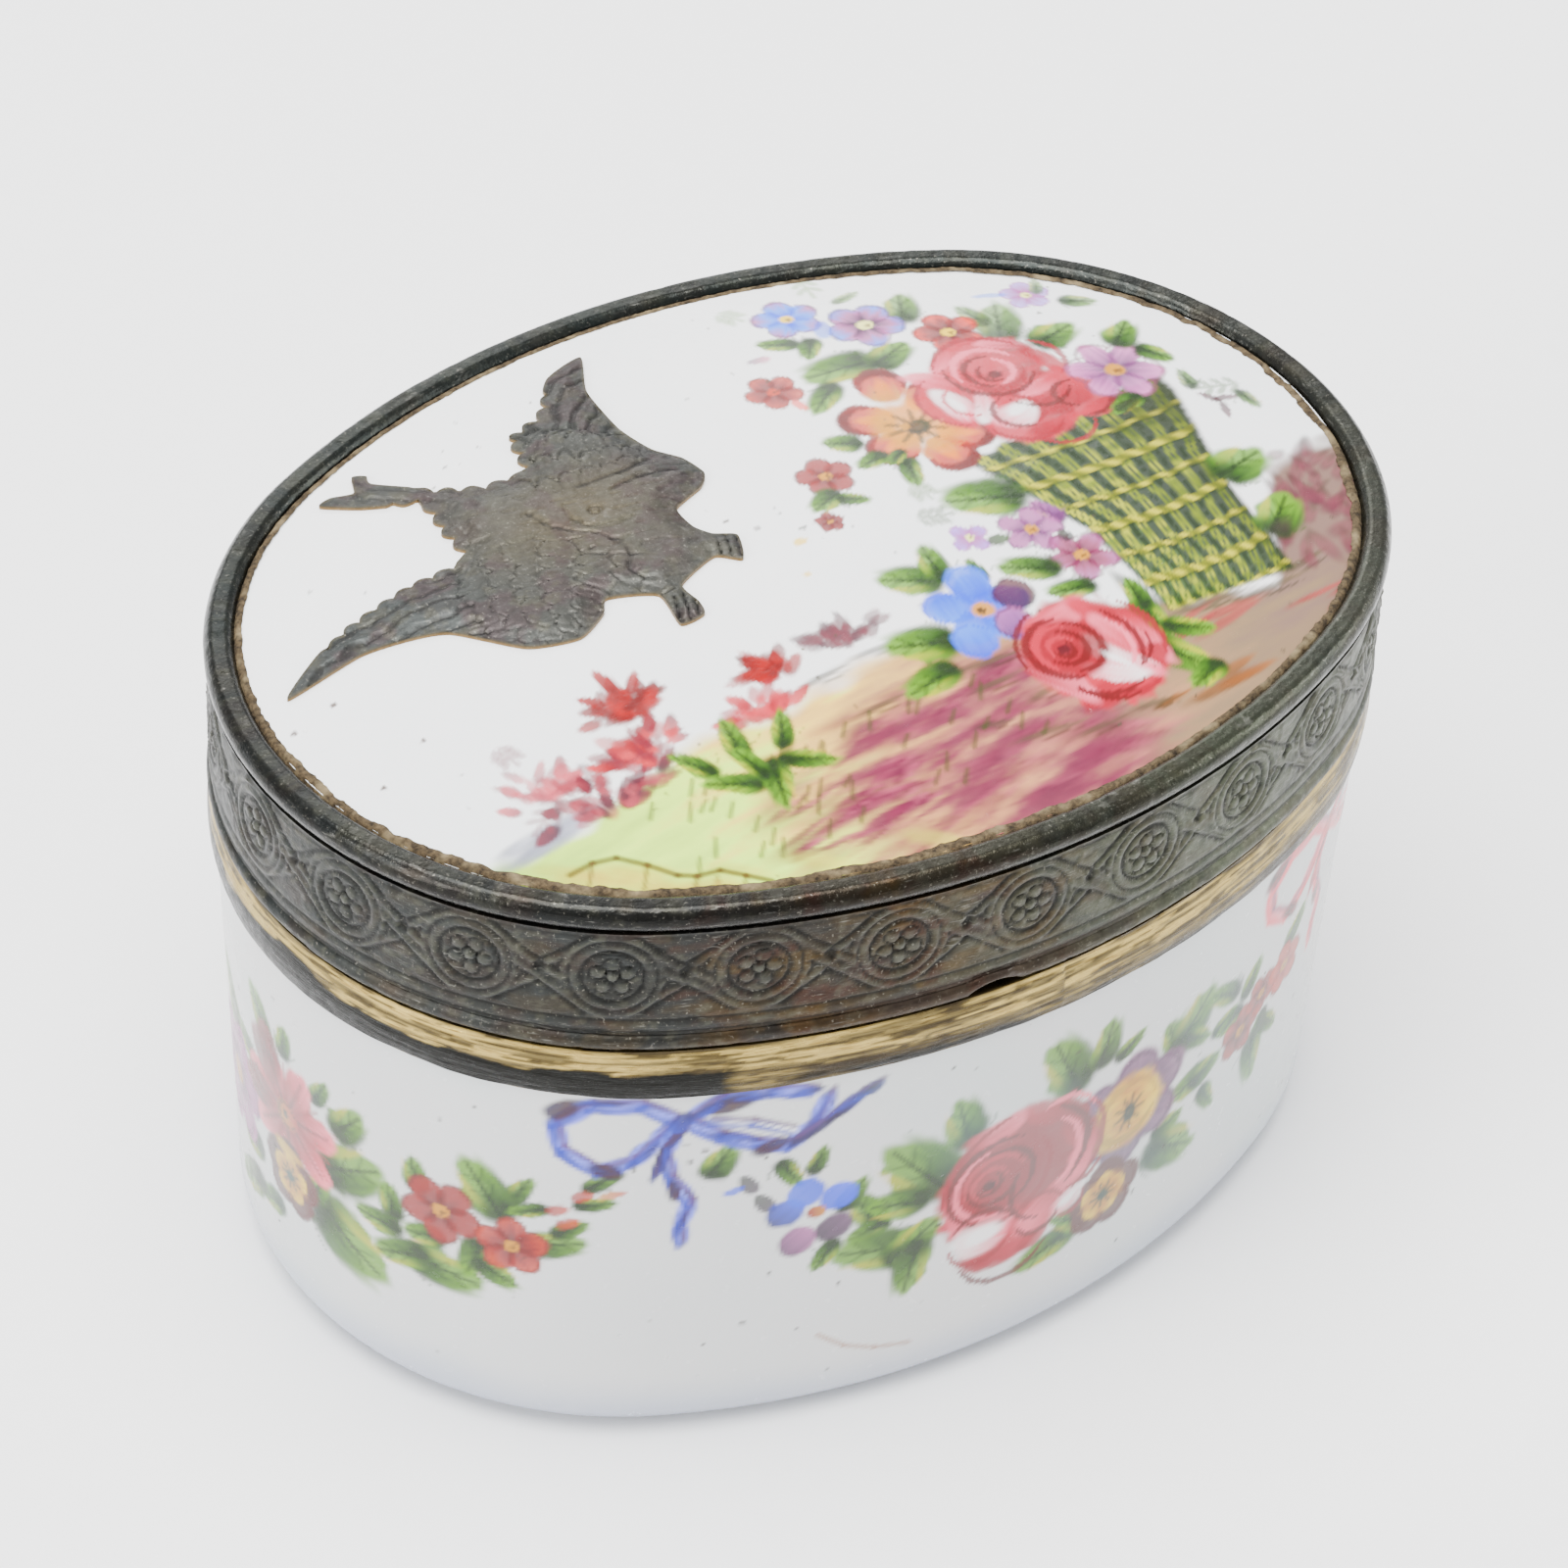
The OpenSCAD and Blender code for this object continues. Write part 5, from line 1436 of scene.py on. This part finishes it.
def build_rim_wire(material):
    """Round rim wire, hammered a little flat on top, lighter along its crest, partly wear and partly a
    painted highlight, and painted darker below the crest as shade.
    """
    columns = 1000
    s = np.arange(columns) * ROUND / columns
    centre_z = WIRE_LOW + WIRE_R * math.sin(math.radians(65))
    turn = np.linspace(-65, 245, 30)
    circle = arc(-WIRE_R, centre_z, WIRE_R, -65, 245, 30)
    rows = [(offset, min(height, WIRE_TOP)) for offset, height in circle]
    _, around, _, z = swept(rows, s)
    up = np.sin(np.radians(turn))[:, None]
    dents = -0.05 * fbm(around * 0.22, up * 1.5 + 4, 131) - 0.02 * smooth(fbm(around * 1.4, up * 4, 132),
                                                                          0.55, 0.75)
    away = np.cos(np.radians(turn))[:, None]
    points, around, _, z = swept(rows, s, push=dents * away, lift=dents * np.maximum(up, 0))
    crest = np.broadcast_to(up, z.shape)
    front = front_s(around)
    # the wire's foot goes near black where it meets the band; its crest is lighter in patches, partly wear
    # and partly a painted highlight
    shade = -0.05 * (1 - smooth(crest, -0.75, -0.35))
    shade += 0.05 * smooth(crest, 0.75, 1.0) * smooth(fbm(front * 0.5, up * 3, 133), 0.35, 0.6)
    rgb = band_patina(front, z + 20, shade, 135, RIM_LIGHT)
    # painted shade: the wire is darker everywhere below its crest
    dark = 0.45 * (1 - smooth(crest, 0.2, 0.9))
    rgb *= (1 - dark)[..., None]
    back = smooth(np.abs(front), 34, 48) * 0.4
    rgb += back[..., None] * (metal((70, 92, 88), RIM_LIGHT) - rgb)
    scuffs = smooth(fbm(front * 1.2, up * 9, 137), 0.62, 0.74) * smooth(crest, 0.4, 0.9) * 0.2
    rgb += scuffs[..., None] * (metal((150, 150, 138), RIM_LIGHT) - rgb)
    return make_piece("rim", points.reshape(-1, 3), ring_faces(len(rows), columns).tolist(), "lid",
                      "rim_wire", material, rgb.reshape(-1, 3), sharp=60)


def build_plaque(material):
    """The domed, painted enamel of the lid, on a grid that runs out to its oval edge."""
    across, up = 352, 258
    u, v = np.meshgrid(np.linspace(-1, 1, across), np.linspace(-1, 1, up))
    disc_x = u * np.sqrt(1 - v * v / 2)
    disc_y = v * np.sqrt(1 - u * u / 2)
    radius = np.hypot(disc_x, disc_y)
    bearing = np.arctan2(disc_y * PLAQUE_Y, disc_x * PLAQUE_X)
    edge = edge_distance(bearing)
    x = radius * edge * np.cos(bearing)
    y = radius * edge * np.sin(bearing)
    z = dome(x, y) - 0.035 * fbm(x * 0.12 + 9, y * 0.12 + 9, 141)
    top = np.stack([x, y, z], -1).reshape(-1, 3)
    art = Canvas(top[:, 0], top[:, 1], LID_LIGHT, WHITEST, 1.25)
    paint_lid(art)
    index = np.arange(up * across).reshape(up, across)
    quads = np.stack([index[:-1, :-1], index[:-1, 1:], index[1:, 1:], index[1:, :-1]], -1).reshape(-1, 4)
    border = np.concatenate([index[0, :-1], index[:-1, -1], index[-1, :0:-1], index[:0:-1, 0]])
    rim = top[border]
    points = [top]
    faces = quads.tolist()
    count = len(border)
    above = border
    base = len(top)
    for t in (1.0, 0.66, 0.33):
        ring = rim * (t, t, 1)
        ring[:, 2] = dome(ring[:, 0], ring[:, 1]) - ENAMEL_T
        points.append(ring)
        below = base + np.arange(count)
        base += count
        faces += np.stack([np.roll(above, -1), above, below, np.roll(below, -1)], -1).tolist()
        above = below
    points.append(np.array([[0, 0, dome(0, 0) - ENAMEL_T]]))
    faces += [[int(above[(k + 1) % count]), int(above[k]), base] for k in range(count)]
    points = np.concatenate(points)
    colours = np.full((len(points), 3), WHITEST)
    colours[:len(top)] = art.rgb
    return make_piece("painted_plaque", points, faces, "lid", "plaque_enamel", material,
                      colours, sharp=50)


def edge_distance(bearing):
    """Distance from the middle to the plaque's edge in each direction."""
    s = np.linspace(0, ROUND, 4000, endpoint=False)
    x, y, _, _ = oval(s, -PLAQUE_INSET)
    angle = np.arctan2(y, x)
    order = np.argsort(angle)
    return np.interp(bearing, angle[order], np.hypot(x, y)[order], period=2 * math.pi)


def build_crust(material):
    """Brown cement that beds the plaque: a crumbly line shows inside the rim."""
    columns = 1500
    s = np.arange(columns) * ROUND / columns
    low = low_z("plaque_cement")
    top = high_z("plaque_cement")
    bed = EDGE_Z - 1.38
    # the section as (offset, how far below the cement's top)
    outer = [(-0.92, top - low), (-0.92, 1.09), (-1.06, 0.89), (-1.2, 0.65)]
    show = [(-1.27, 0.43), (-1.29, 0.31), (-1.36, 0.19), (-1.46, 0.09), (-1.56, 0.06), (-1.66, 0.05),
            (-1.76, 0.07), (-1.84, 0.11), (-1.86, 0.15)]
    under = [(-1.6, 0.18), (-PLAQUE_INSET - 0.01, 0.21), (-PLAQUE_INSET + 0.02, top - bed),
             (-1.98, top - bed), (-1.98, top - low)]
    rows = [(offset, top - drop) for offset, drop in outer + show + under]
    _, around, _, z = swept(rows, s)
    front = front_s(around)
    # the crust reaches furthest in at the front left and at the right
    patches = np.exp(-((front + 25) / 14) ** 2) + np.exp(-((front - 34) / 16) ** 2)
    patches += 0.7 * np.exp(-((front + 3) / 6) ** 2)
    heavy = 0.25 + 0.75 * np.clip(patches, 0, 1)
    width = heavy * (0.35 + 0.9 * fbm(around * 1.5, z * 0, 151, 3)) + 0.12 * (fbm(around * 6, z * 0, 152,
                                                                                  2) - 0.5)
    share = np.zeros((len(rows), 1))
    share[4:13, 0] = np.linspace(0.1, 1, 9)
    share[13, 0] = 0.6
    narrow = np.clip(1 - width, 0, 1) * 0.46 * share
    lumps = 0.1 * (fbm(around * 4, z * 6, 153) - 0.6)
    knob = np.zeros((len(rows), 1))
    knob[5:11] = 1
    sunk = np.zeros((len(rows), 1))
    sunk[6:12] = -0.03
    points, _, _, _ = swept(rows, s, push=narrow, lift=lumps * knob + sunk)
    x, y, zz = points[..., 0], points[..., 1], points[..., 2]
    shown = np.zeros((len(rows), 1), bool)
    shown[11:14] = True
    points[..., 2] = np.where(shown, np.maximum(zz, dome(x, y) + 0.005), zz)
    return make_piece("plaque_crust", points.reshape(-1, 3), ring_faces(len(rows), columns).tolist(), "lid",
                      "plaque_cement", material, sharp=70)


# ---------------------------------------------------------------- the swallow

SWALLOW_MIDDLE = (-7.0, 5.0)

# Outline from its breast, in millimetres: upper wing, breast and feet, lower wing, forked tail
SWALLOW_OUTLINE = (
    (6, 10.4), (4.8, 8), (4.4, 5), (4.7, 3), (5.4, 1.8), (5.6, 0.5), (5, -0.2), (3.4, -0.9),
    (3.3, -2.2), (3.7, -3), (4.5, -3.6), (3.9, -4.9), (3, -4.2), (1, -5),
    (1, -6.2), (0.8, -6.9), (-0.3, -6.9), (-0.1, -5), (-1.9, -4.1), (-2.5, -4.8),
    (-4, -5.5), (-6, -4.8), (-8, -2.4), (-9.5, -1.8), (-11.5, -1.5), (-15, -2),
    (-13, -0.6), (-11, 0.3), (-8, 1), (-5.4, 1.2), (-5.1, 3.2), (-4.9, 5.2),
    (-6.8, 6.5), (-8, 7.6), (-7.4, 7.8), (-6.5, 7.5), (-6, 8.5), (-5.5, 8.2), (-5.6, 7.6),
    (-4, 6), (-2.2, 4.9), (-0.4, 4.8), (0.4, 7), (2.2, 7.8), (4, 9.8))


def rounded_outline(corners, spacing):
    """Points along a smooth curve through the corners, about spacing apart."""
    corners = np.array(corners, float)
    count = len(corners)
    places = []
    for k in range(count):
        p0, p1, p2, p3 = (corners[(k + j) % count] for j in (-1, 0, 1, 2))
        length = np.hypot(*(p2 - p1))
        number = max(2, int(round(length / spacing)))
        t = (np.arange(number) / number)[:, None]
        pull = 0.32
        m1 = pull * (p2 - p0)
        m2 = pull * (p3 - p1)
        places.append((2 * t ** 3 - 3 * t ** 2 + 1) * p1 + (t ** 3 - 2 * t ** 2 + t) * m1
                      + (-2 * t ** 3 + 3 * t ** 2) * p2 + (t ** 3 - t ** 2) * m2)
    return np.concatenate(places)


def scalloped(outline):
    """Feather ends cut into the trailing edges of the wings and tail, always inwards."""
    ahead = np.roll(outline, -1, axis=0) - np.roll(outline, 1, axis=0)
    inward = np.stack([-ahead[:, 1], ahead[:, 0]], -1) / np.hypot(*ahead.T)[:, None]
    area = np.sum(outline[:, 0] * np.roll(outline[:, 1], -1) - outline[:, 1] * np.roll(outline[:, 0], -1))
    inward *= np.sign(area)
    run = np.cumsum(np.hypot(*(outline - np.roll(outline, 1, axis=0)).T))
    x, y = outline.T
    upper = smooth(y, 4.3, 5.0) * (1 - smooth(y, 8.6, 9.4)) * (1 - smooth(x - 0.35 * y, 0.6,
                                                                          1.2)) * smooth(x, -4.6, -3.8)
    lower = (1 - smooth(x, -5.2, -4.6)) * smooth(x, -13.5, -12.5) * smooth(y, -0.6,
                                                                           0.0) * (1 - smooth(y, 2.6, 3.4))
    root = (1 - smooth(x, -4.6, -4.3)) * smooth(x, -6.0, -5.6) * smooth(y, 0.8,
                                                                        1.4) * (1 - smooth(y, 5.6, 6.2))
    teeth = 1 - np.abs(np.sin(math.pi * run / 0.95)) ** 0.7
    depth = np.clip(upper + lower * 0.6 + root, 0, 1) * 0.42 * teeth
    return outline + inward * depth[:, None]


def edge_gap(points, outline):
    """Distance from each point to the outline, and whether it is inside."""
    nearest = np.full(len(points), 1e9)
    inside = np.zeros(len(points), bool)
    ends = np.roll(outline, -1, axis=0)
    for (x0, y0), (x1, y1) in zip(outline, ends):
        dx, dy = x1 - x0, y1 - y0
        t = np.clip(((points[:, 0] - x0) * dx + (points[:, 1] - y0) * dy) / (dx * dx + dy * dy + 1e-12), 0, 1)
        nearest = np.minimum(nearest, (points[:, 0] - x0 - t * dx) ** 2 + (points[:, 1] - y0 - t * dy) ** 2)
        crossing = (y0 > points[:, 1]) != (y1 > points[:, 1])
        at = x0 + (points[:, 1] - y0) * dx / (dy if dy else 1e-12)
        inside ^= crossing & (points[:, 0] < at)
    return np.sqrt(nearest), inside


UPPER_SCALES = 3.2              # small scales reach this far out along each part, then long feathers follow
LOWER_SCALES = 3.4
TAIL_SCALES = 4.4


def feathers(p, q, long, wide):
    """Overlapping scales: p runs from root to tip, q across; 0 in the cuts, 1 on the feather."""
    row = np.floor(p / long)
    shift = q / wide + 0.5 * (row % 2)
    fq = np.abs(shift - np.round(shift)) * 2
    fp = p / long - row
    lip = 0.45 + 0.5 * np.sqrt(np.clip(1 - fq ** 2, 0, 1))
    cut = 0.8 * ridge((fp - lip) * long, 0.08) + 0.4 * ridge((1 - fq) * wide / 2, 0.09) * (fp < lip)
    shaft = 0.25 * ridge(fq * wide / 2, 0.08) * (fp < lip)
    return np.clip(1 - cut - shaft, 0, 1) * (0.6 + 0.4 * np.clip(fp / np.maximum(lip, 0.1), 0, 1))


def quills(p, q, wide):
    """Long flight feathers side by side: q runs across them."""
    fq = q / wide
    near = np.abs(fq - np.round(fq))
    cut = ridge((0.5 - near) * wide, 0.13)
    shaft = 0.2 * ridge(near * wide, 0.09)
    grain = 0.25 * noise(p * 0.9 + 50, q * 3.5, 174)
    return np.clip(1 - cut - shaft - grain, 0, 1)


def swallow_height(x, y, gap):
    """Height of the body, wings and engraved feathers, and the engraving alone; x, y are from the breast."""
    bend_x = x + 1.3 * (fbm(x * 0.6 + 30, y * 0.6 + 30, 171) - 0.5)
    bend_y = y + 1.3 * (fbm(x * 0.6 + 60, y * 0.6 + 60, 172) - 0.5)
    body = 0.1 * np.exp(-((x - 1.0) / 2.6) ** 2 - ((y + 0.4) / 2.6) ** 2)
    body += 0.05 * np.exp(-((x + 2.5) / 2.2) ** 2 - ((y - 1.6) / 1.8) ** 2)
    # the upper wing sweeps from the shoulder to its tip, curving backwards; polar about a point ahead of it
    up_q = np.hypot(bend_x - 9.0, bend_y - 1.0)
    up_a = np.arctan2(bend_y - 1.0, -(bend_x - 9.0))
    up_p = up_a * 7.5 - 1.6
    # the lower wing's centre lies in front of it, so that its feathers run along it
    low_q = np.hypot(bend_x + 8.5, bend_y + 13.0)
    low_a = np.arctan2(-(bend_x + 8.5), bend_y + 13.0)
    low_p = low_a * 12.5 + 5.4
    tail_p = -(bend_x + 0.8) * 0.72 + (bend_y - 1.2) * 0.69
    tail_q = (bend_x + 0.8) * 0.69 + (bend_y - 1.2) * 0.72
    upper = smooth(y - 0.08 * x, 2.0, 2.5)
    upper = upper * smooth(x + 0.55 * y, 0.7, 1.3)
    lower = smooth(-0.9 + (0.4 - y) * 0.35 - x, 0.0, 0.6) * (1 - smooth(y, 0.2, 1.4))
    tail = 0.6 * smooth(tail_p, 2.6, 3.6) * (1 - upper) * (1 - lower)
    cut = np.ones_like(x)
    cut -= upper * (1 - np.where(up_p < UPPER_SCALES, feathers(up_p + 10, up_q, 1.2, 0.85),
                                 quills(up_p, up_q, 0.85)))
    cut -= lower * (1 - np.where(low_p < LOWER_SCALES, feathers(low_p + 10, low_q, 1.25, 0.8),
                                 quills(low_p, low_q, 0.75)))
    cut -= tail * (1 - np.where(tail_p < TAIL_SCALES, feathers(tail_p + 10, tail_q, 0.9, 0.8),
                                quills(tail_p, tail_q, 0.7)))
    cut -= 0.5 * upper * ridge(up_p - UPPER_SCALES, 0.1)
    cut -= 0.5 * lower * ridge(low_p - LOWER_SCALES, 0.1)
    breast = np.clip(1 - upper - lower - tail, 0, 1)
    ruffle = noise(x * 1.5 - y * 0.6, y * 5 + x * 1.2, 173)
    cut -= 0.4 * breast * smooth(ruffle, 0.6, 0.8)
    # joints where the wings leave the body, deep and dark
    cut -= 0.9 * ridge(y - 2.2 - 0.1 * (x - 2.4) ** 2 * 0.35, 0.12) * smooth(x, 0.4,
                                                                             1.0) * (1 - smooth(x, 4.0, 4.6))
    cut -= 0.9 * ridge(y - 1.5 + 0.12 * (x - 3.0) ** 2, 0.1) * smooth(x, 1.4, 2.0) * (1 - smooth(x, 4.6, 5.1))
    crease = bend_x + 0.9 - (0.4 - y) * 0.35 + 0.55 * np.sin(y * 1.2)
    cut -= 0.65 * ridge(crease, 0.13) * smooth(y, -4.6, -3.6) * (1 - smooth(y, 1.6, 2.2))
    cut -= 0.6 * ridge(y + 2.6 + 0.7 * (x - 0.2), 0.11) * smooth(x, -2.0, -1.4) * (1 - smooth(x, 0.6, 1.2))
    # head with its eye
    head = np.hypot(x - 0.9, y - 0.7)
    cut -= 0.45 * ridge(head - 1.5, 0.09) * (x < 1.6) * (y < 1.6)
    cut -= 0.8 * ridge(np.hypot(x - 0.45, y - 0.5) - 0.24, 0.07) + 0.5 * ridge(np.hypot(x - 0.45, y - 0.5),
                                                                               0.08)
    toes = np.clip(smooth(-y, 5.0, 5.6) * smooth(x, -0.6, -0.3) + smooth(x - y, 6.9, 7.3), 0, 1)
    cut -= 0.9 * toes * ridge(np.sin((x - 0.4 * y) * 7.5), 0.4)
    cut = np.clip(cut, -0.6, 1.1)
    return 0.17 + 0.2 * smooth(gap, 0.0, 1.3) + body + 0.08 * (cut - 1), cut


def swallow_colour(x, y, cut, gap):
    """Brown-grey patina with a violet tinge over the body and bluish grey wings, and a pale edge that is
    partly gilt and partly a painted highlight.
    """
    rgb = np.tile(metal((132, 133, 129), METAL_LIGHT), (len(x), 1))

    def over(mask, colour):
        rgb[...] += np.asarray(mask)[..., None] * (metal(colour, METAL_LIGHT) - rgb)

    over(smooth(fbm(x * 0.4 + 40, y * 0.4 + 40, 161), 0.45, 0.7) * 0.5, (136, 122, 120))
    over(np.exp(-((x + 0.2) / 3.6) ** 2 - ((y - 0.8) / 2.4) ** 2) * 0.75, (162, 152, 126))
    over(smooth(-x - 2, 2.0, 6.0) * (1 - smooth(y, 1.0, 2.5)) * 0.6, (118, 126, 128))
    over(smooth(y, 3.5, 7.0) * 0.5, (126, 130, 128))
    over(smooth(x, 2.6, 4.4) * (1 - smooth(y, 5, 7)) * 0.6, (108, 114, 116))
    over(smooth(fbm(x * 0.9 + 40, y * 0.9 + 40, 163), 0.5, 0.68) * 0.5, (132, 108, 114))
    over(smooth(fbm(x * 1.6 + 40, y * 1.6 + 40, 165), 0.52, 0.7) * 0.4, (150, 148, 132))
    over((1 - smooth(cut, -0.2, 0.85)) * 0.75, (50, 49, 48))
    over(smooth(cut, 0.9, 1.02) * 0.25, (150, 148, 142))
    # pale gold along the cut edge: partly gilt, partly a painted highlight where the sheet's thickness
    # catches the light
    over((1 - smooth(gap, 0.02, 0.12)) * 0.55, (160, 152, 126))
    return rgb


def build_swallow(material):
    """The applied silver swallow: cut sheet, bent to the dome, chased with feathers."""
    outline = scalloped(rounded_outline(SWALLOW_OUTLINE, 0.09))
    low = outline.min(0)
    high = outline.max(0)
    spacing = 0.085
    gx, gy = np.meshgrid(np.arange(low[0], high[0], spacing), np.arange(low[1], high[1], spacing * 0.87))
    gx[1::2] += spacing / 2
    seeds = np.stack([gx.ravel(), gy.ravel()], -1)
    gap, inside = edge_gap(seeds, outline)
    seeds = seeds[inside & (gap > spacing * 0.6)]
    count = len(outline)
    plan = np.concatenate([outline, seeds])
    edges = [(k, (k + 1) % count) for k in range(count)]
    verts, _, faces, _, _, _ = geometry.delaunay_2d_cdt([Vector(p) for p in plan], edges, [], 1, 1e-5)
    flat = np.array([(p.x, p.y) for p in verts])
    faces = [list(f) for f in faces]
    gap, _ = edge_gap(flat, outline)
    height, cut = swallow_height(flat[:, 0], flat[:, 1], gap)
    height = np.where(gap < 0.02, 0.16, height)
    x = flat[:, 0] + SWALLOW_MIDDLE[0]
    y = flat[:, 1] + SWALLOW_MIDDLE[1]
    base = dome(x, y)
    top = np.stack([x, y, base + height], -1)
    loops = boundary_loop(faces)
    start = len(top)
    under = top[loops].copy()
    under[:, 2] = base[loops] + 0.002
    bottom_of = {v: start + k for k, v in enumerate(loops)}
    size = len(loops)
    shell = list(faces)
    for k in range(size):
        a, b = loops[k], loops[(k + 1) % size]
        shell.append([b, a, bottom_of[a], bottom_of[b]])
    # the underside, cut from the outline alone
    ring = [Vector((flat[v, 0], flat[v, 1])) for v in loops]
    ring_edges = [(k, (k + 1) % size) for k in range(size)]
    _, _, low_faces, origin, _, _ = geometry.delaunay_2d_cdt(ring, ring_edges, [], 1, 1e-5)
    where = [start + o[0] if o else None for o in origin]
    for f in low_faces:
        shell.append([where[v] for v in reversed(f)])
    points = np.concatenate([top, under])
    rgb = swallow_colour(flat[:, 0], flat[:, 1], cut, gap)
    # the side walls and underside are pale gold, so the cut edge shows partly as gilt and partly as a painted
    # highlight
    rgb = np.concatenate([rgb, np.tile(metal((206, 190, 150), METAL_LIGHT), (size, 1))])
    return make_piece("swallow_relief", points, shell, "lid", "swallow", material, rgb,
                      sharp=55)


def boundary_loop(faces):
    """The vertices round the outside of a sheet of faces, in order."""
    following = {}
    seen = set()
    for f in faces:
        for a, b in zip(f, f[1:] + f[:1]):
            seen.add((a, b))
    for a, b in seen:
        if (b, a) not in seen:
            following[a] = b
    first = min(following)
    loop = [first]
    while following[loop[-1]] != first:
        loop.append(following[loop[-1]])
    return loop


# ---------------------------------------------------------------- CAD nodes that stay


def dress(node, material):
    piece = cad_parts[node]
    piece.data.materials.clear()
    piece.data.materials.append(material)


def dress_cad_nodes():
    plain = plain_enamel_material()
    copper = metal_material("old_copper", (0.3, 0.13, 0.07), (0.58, 0.28, 0.16), 0.35, 0.55)
    hinge = metal_material("hinge_silver", (0.06, 0.06, 0.054), (0.19, 0.185, 0.165), 0.3, 0.5)
    inside = metal_material("inner_silver", (0.13, 0.12, 0.09), (0.27, 0.245, 0.185), 0.28, 0.46,
                            (0.9, 0.9, 9.0))
    crust = bpy.data.materials["cement_crust"]
    for node in ("inner_enamel", "plaque_lining"):
        dress(node, plain)
    for node in ("copper_bowl", "plaque_copper"):
        dress(node, copper)
    for node in ("box_hinge_leaf", "box_knuckle_left", "box_knuckle_middle", "box_knuckle_right", "hinge_pin",
                 "lid_hinge_leaf", "lid_knuckle_left", "lid_knuckle_right"):
        dress(node, hinge)
    for node in ("mouth_lip", "seat_ring"):
        dress(node, inside)
    dress("bowl_cement", crust)


# ---------------------------------------------------------------- stage, light and camera


FLOOR_GAP = 0.00002             # the floor is this far below the rest face, so they don't coincide


def build_stage():
    """A pale floor that curves up into a backdrop far behind."""
    half = 1.4
    rows = 40
    mesh = bpy.data.meshes.new("floor")
    profile = [(-half, 0.0)] + [(y, 0.0) for y in np.linspace(-0.6, 0.9, 12)]
    bend = 0.5
    profile += [(0.9 + bend * math.sin(a), bend * (1 - math.cos(a))) for a in np.linspace(0.1, math.pi / 2,
                                                                                          14)]
    xs = np.linspace(-half, half, rows)
    points = [(x, y, z) for (y, z) in profile for x in xs]
    faces = [(r * rows + c, r * rows + c + 1, (r + 1) * rows + c + 1, (r + 1) * rows + c)
             for r in range(len(profile) - 1) for c in range(rows - 1)]
    mesh.from_pydata(points, [], faces)
    mesh.polygons.foreach_set("use_smooth", [True] * len(mesh.polygons))
    m = Nodes("studio_paper")
    grain = m.noise(0.9, 3.0)
    colour = m.mix(m.span(grain, 0.3, 0.7), (0.8, 0.8, 0.8), (0.81, 0.81, 0.81))
    mesh.materials.append(m.finish(Base_Color=colour, Roughness=0.9, Specular_IOR_Level=0.1))
    floor = bpy.data.objects.new("floor", mesh)
    floor.location.z = -FLOOR_GAP
    bpy.context.scene.collection.objects.link(floor)


def aim(obj, place, target):
    obj.location = place
    obj.rotation_euler = (Vector(target) - Vector(place)).to_track_quat("-Z", "Y").to_euler()


def area_light(name, place, size, power):
    light = bpy.data.lights.new(name, "AREA")
    light.shape = "DISK"
    light.size = size
    light.energy = power
    lamp = bpy.data.objects.new(name, light)
    aim(lamp, place, (0, 0, 0.01))
    bpy.context.scene.collection.objects.link(lamp)


def build_lights():
    world = bpy.data.worlds.new("studio")
    world.use_nodes = True
    world.node_tree.nodes["Background"].inputs["Color"].default_value = (0.97, 0.985, 1.0, 1)
    world.node_tree.nodes["Background"].inputs["Strength"].default_value = 1.05
    bpy.context.scene.world = world
    area_light("overhead", (-0.12, -0.02, 0.75), 0.7, 19.0)
    area_light("left", (-0.7, -0.05, 0.3), 0.4, 6.0)
    area_light("right", (0.6, -0.3, 0.25), 0.4, 3.0)
    area_light("behind", (0.3, 0.7, 0.5), 0.5, 2.5)


CAMERA_AZIMUTH = -35.818        # degrees, from the front
CAMERA_ELEVATION = 41.369
CAMERA_ROLL = 3.281
CAMERA_DISTANCE = 242.824       # from the point looked at
CAMERA_AIM = (-0.217, 4.181)    # that point, to the right of and above the middle of the box
AIM_HEIGHT = 12.0
SENSOR = 36.0
FOCAL_LENGTH = 134.0155


def build_camera():
    azimuth = math.radians(CAMERA_AZIMUTH)
    elevation = math.radians(CAMERA_ELEVATION)
    back = Vector((math.sin(azimuth) * math.cos(elevation), -math.cos(azimuth) * math.cos(elevation),
                   math.sin(elevation)))
    level = (-back).cross(Vector((0, 0, 1))).normalized()
    up = level.cross(-back)
    roll = math.radians(CAMERA_ROLL)
    x_axis = math.cos(roll) * level + math.sin(roll) * up
    y_axis = math.cos(roll) * up - math.sin(roll) * level
    target = Vector((0, 0, AIM_HEIGHT)) + x_axis * CAMERA_AIM[0] + y_axis * CAMERA_AIM[1]
    place = (target + back * CAMERA_DISTANCE) * MM
    data = bpy.data.cameras.new("camera")
    data.sensor_width = SENSOR
    data.lens = FOCAL_LENGTH
    data.clip_start = 0.01
    data.clip_end = 20
    camera = bpy.data.objects.new("camera", data)
    camera.matrix_world = Matrix.Translation(place) @ Matrix((x_axis, y_axis, back)).transposed().to_4x4()
    bpy.context.scene.collection.objects.link(camera)
    bpy.context.scene.camera = camera


# ---------------------------------------------------------------- everything

build_camera()
build_stage()
build_lights()

enamel = painted_enamel_material()
band_silver = tarnished_material("tarnished_silver", 0.34, 0.55)
rim_silver = tarnished_material("rim_silver", 0.16, 0.36)
swallow_silver = tarnished_material("swallow_silver", 0.36, 0.56, 0.12)
gilt = gilt_material()
crust = crust_material()

build_outer_enamel(enamel)
build_collar(gilt)
build_lid_band(band_silver)
build_rim_wire(rim_silver)
build_plaque(enamel)
build_crust(crust)
build_swallow(swallow_silver)
dress_cad_nodes()
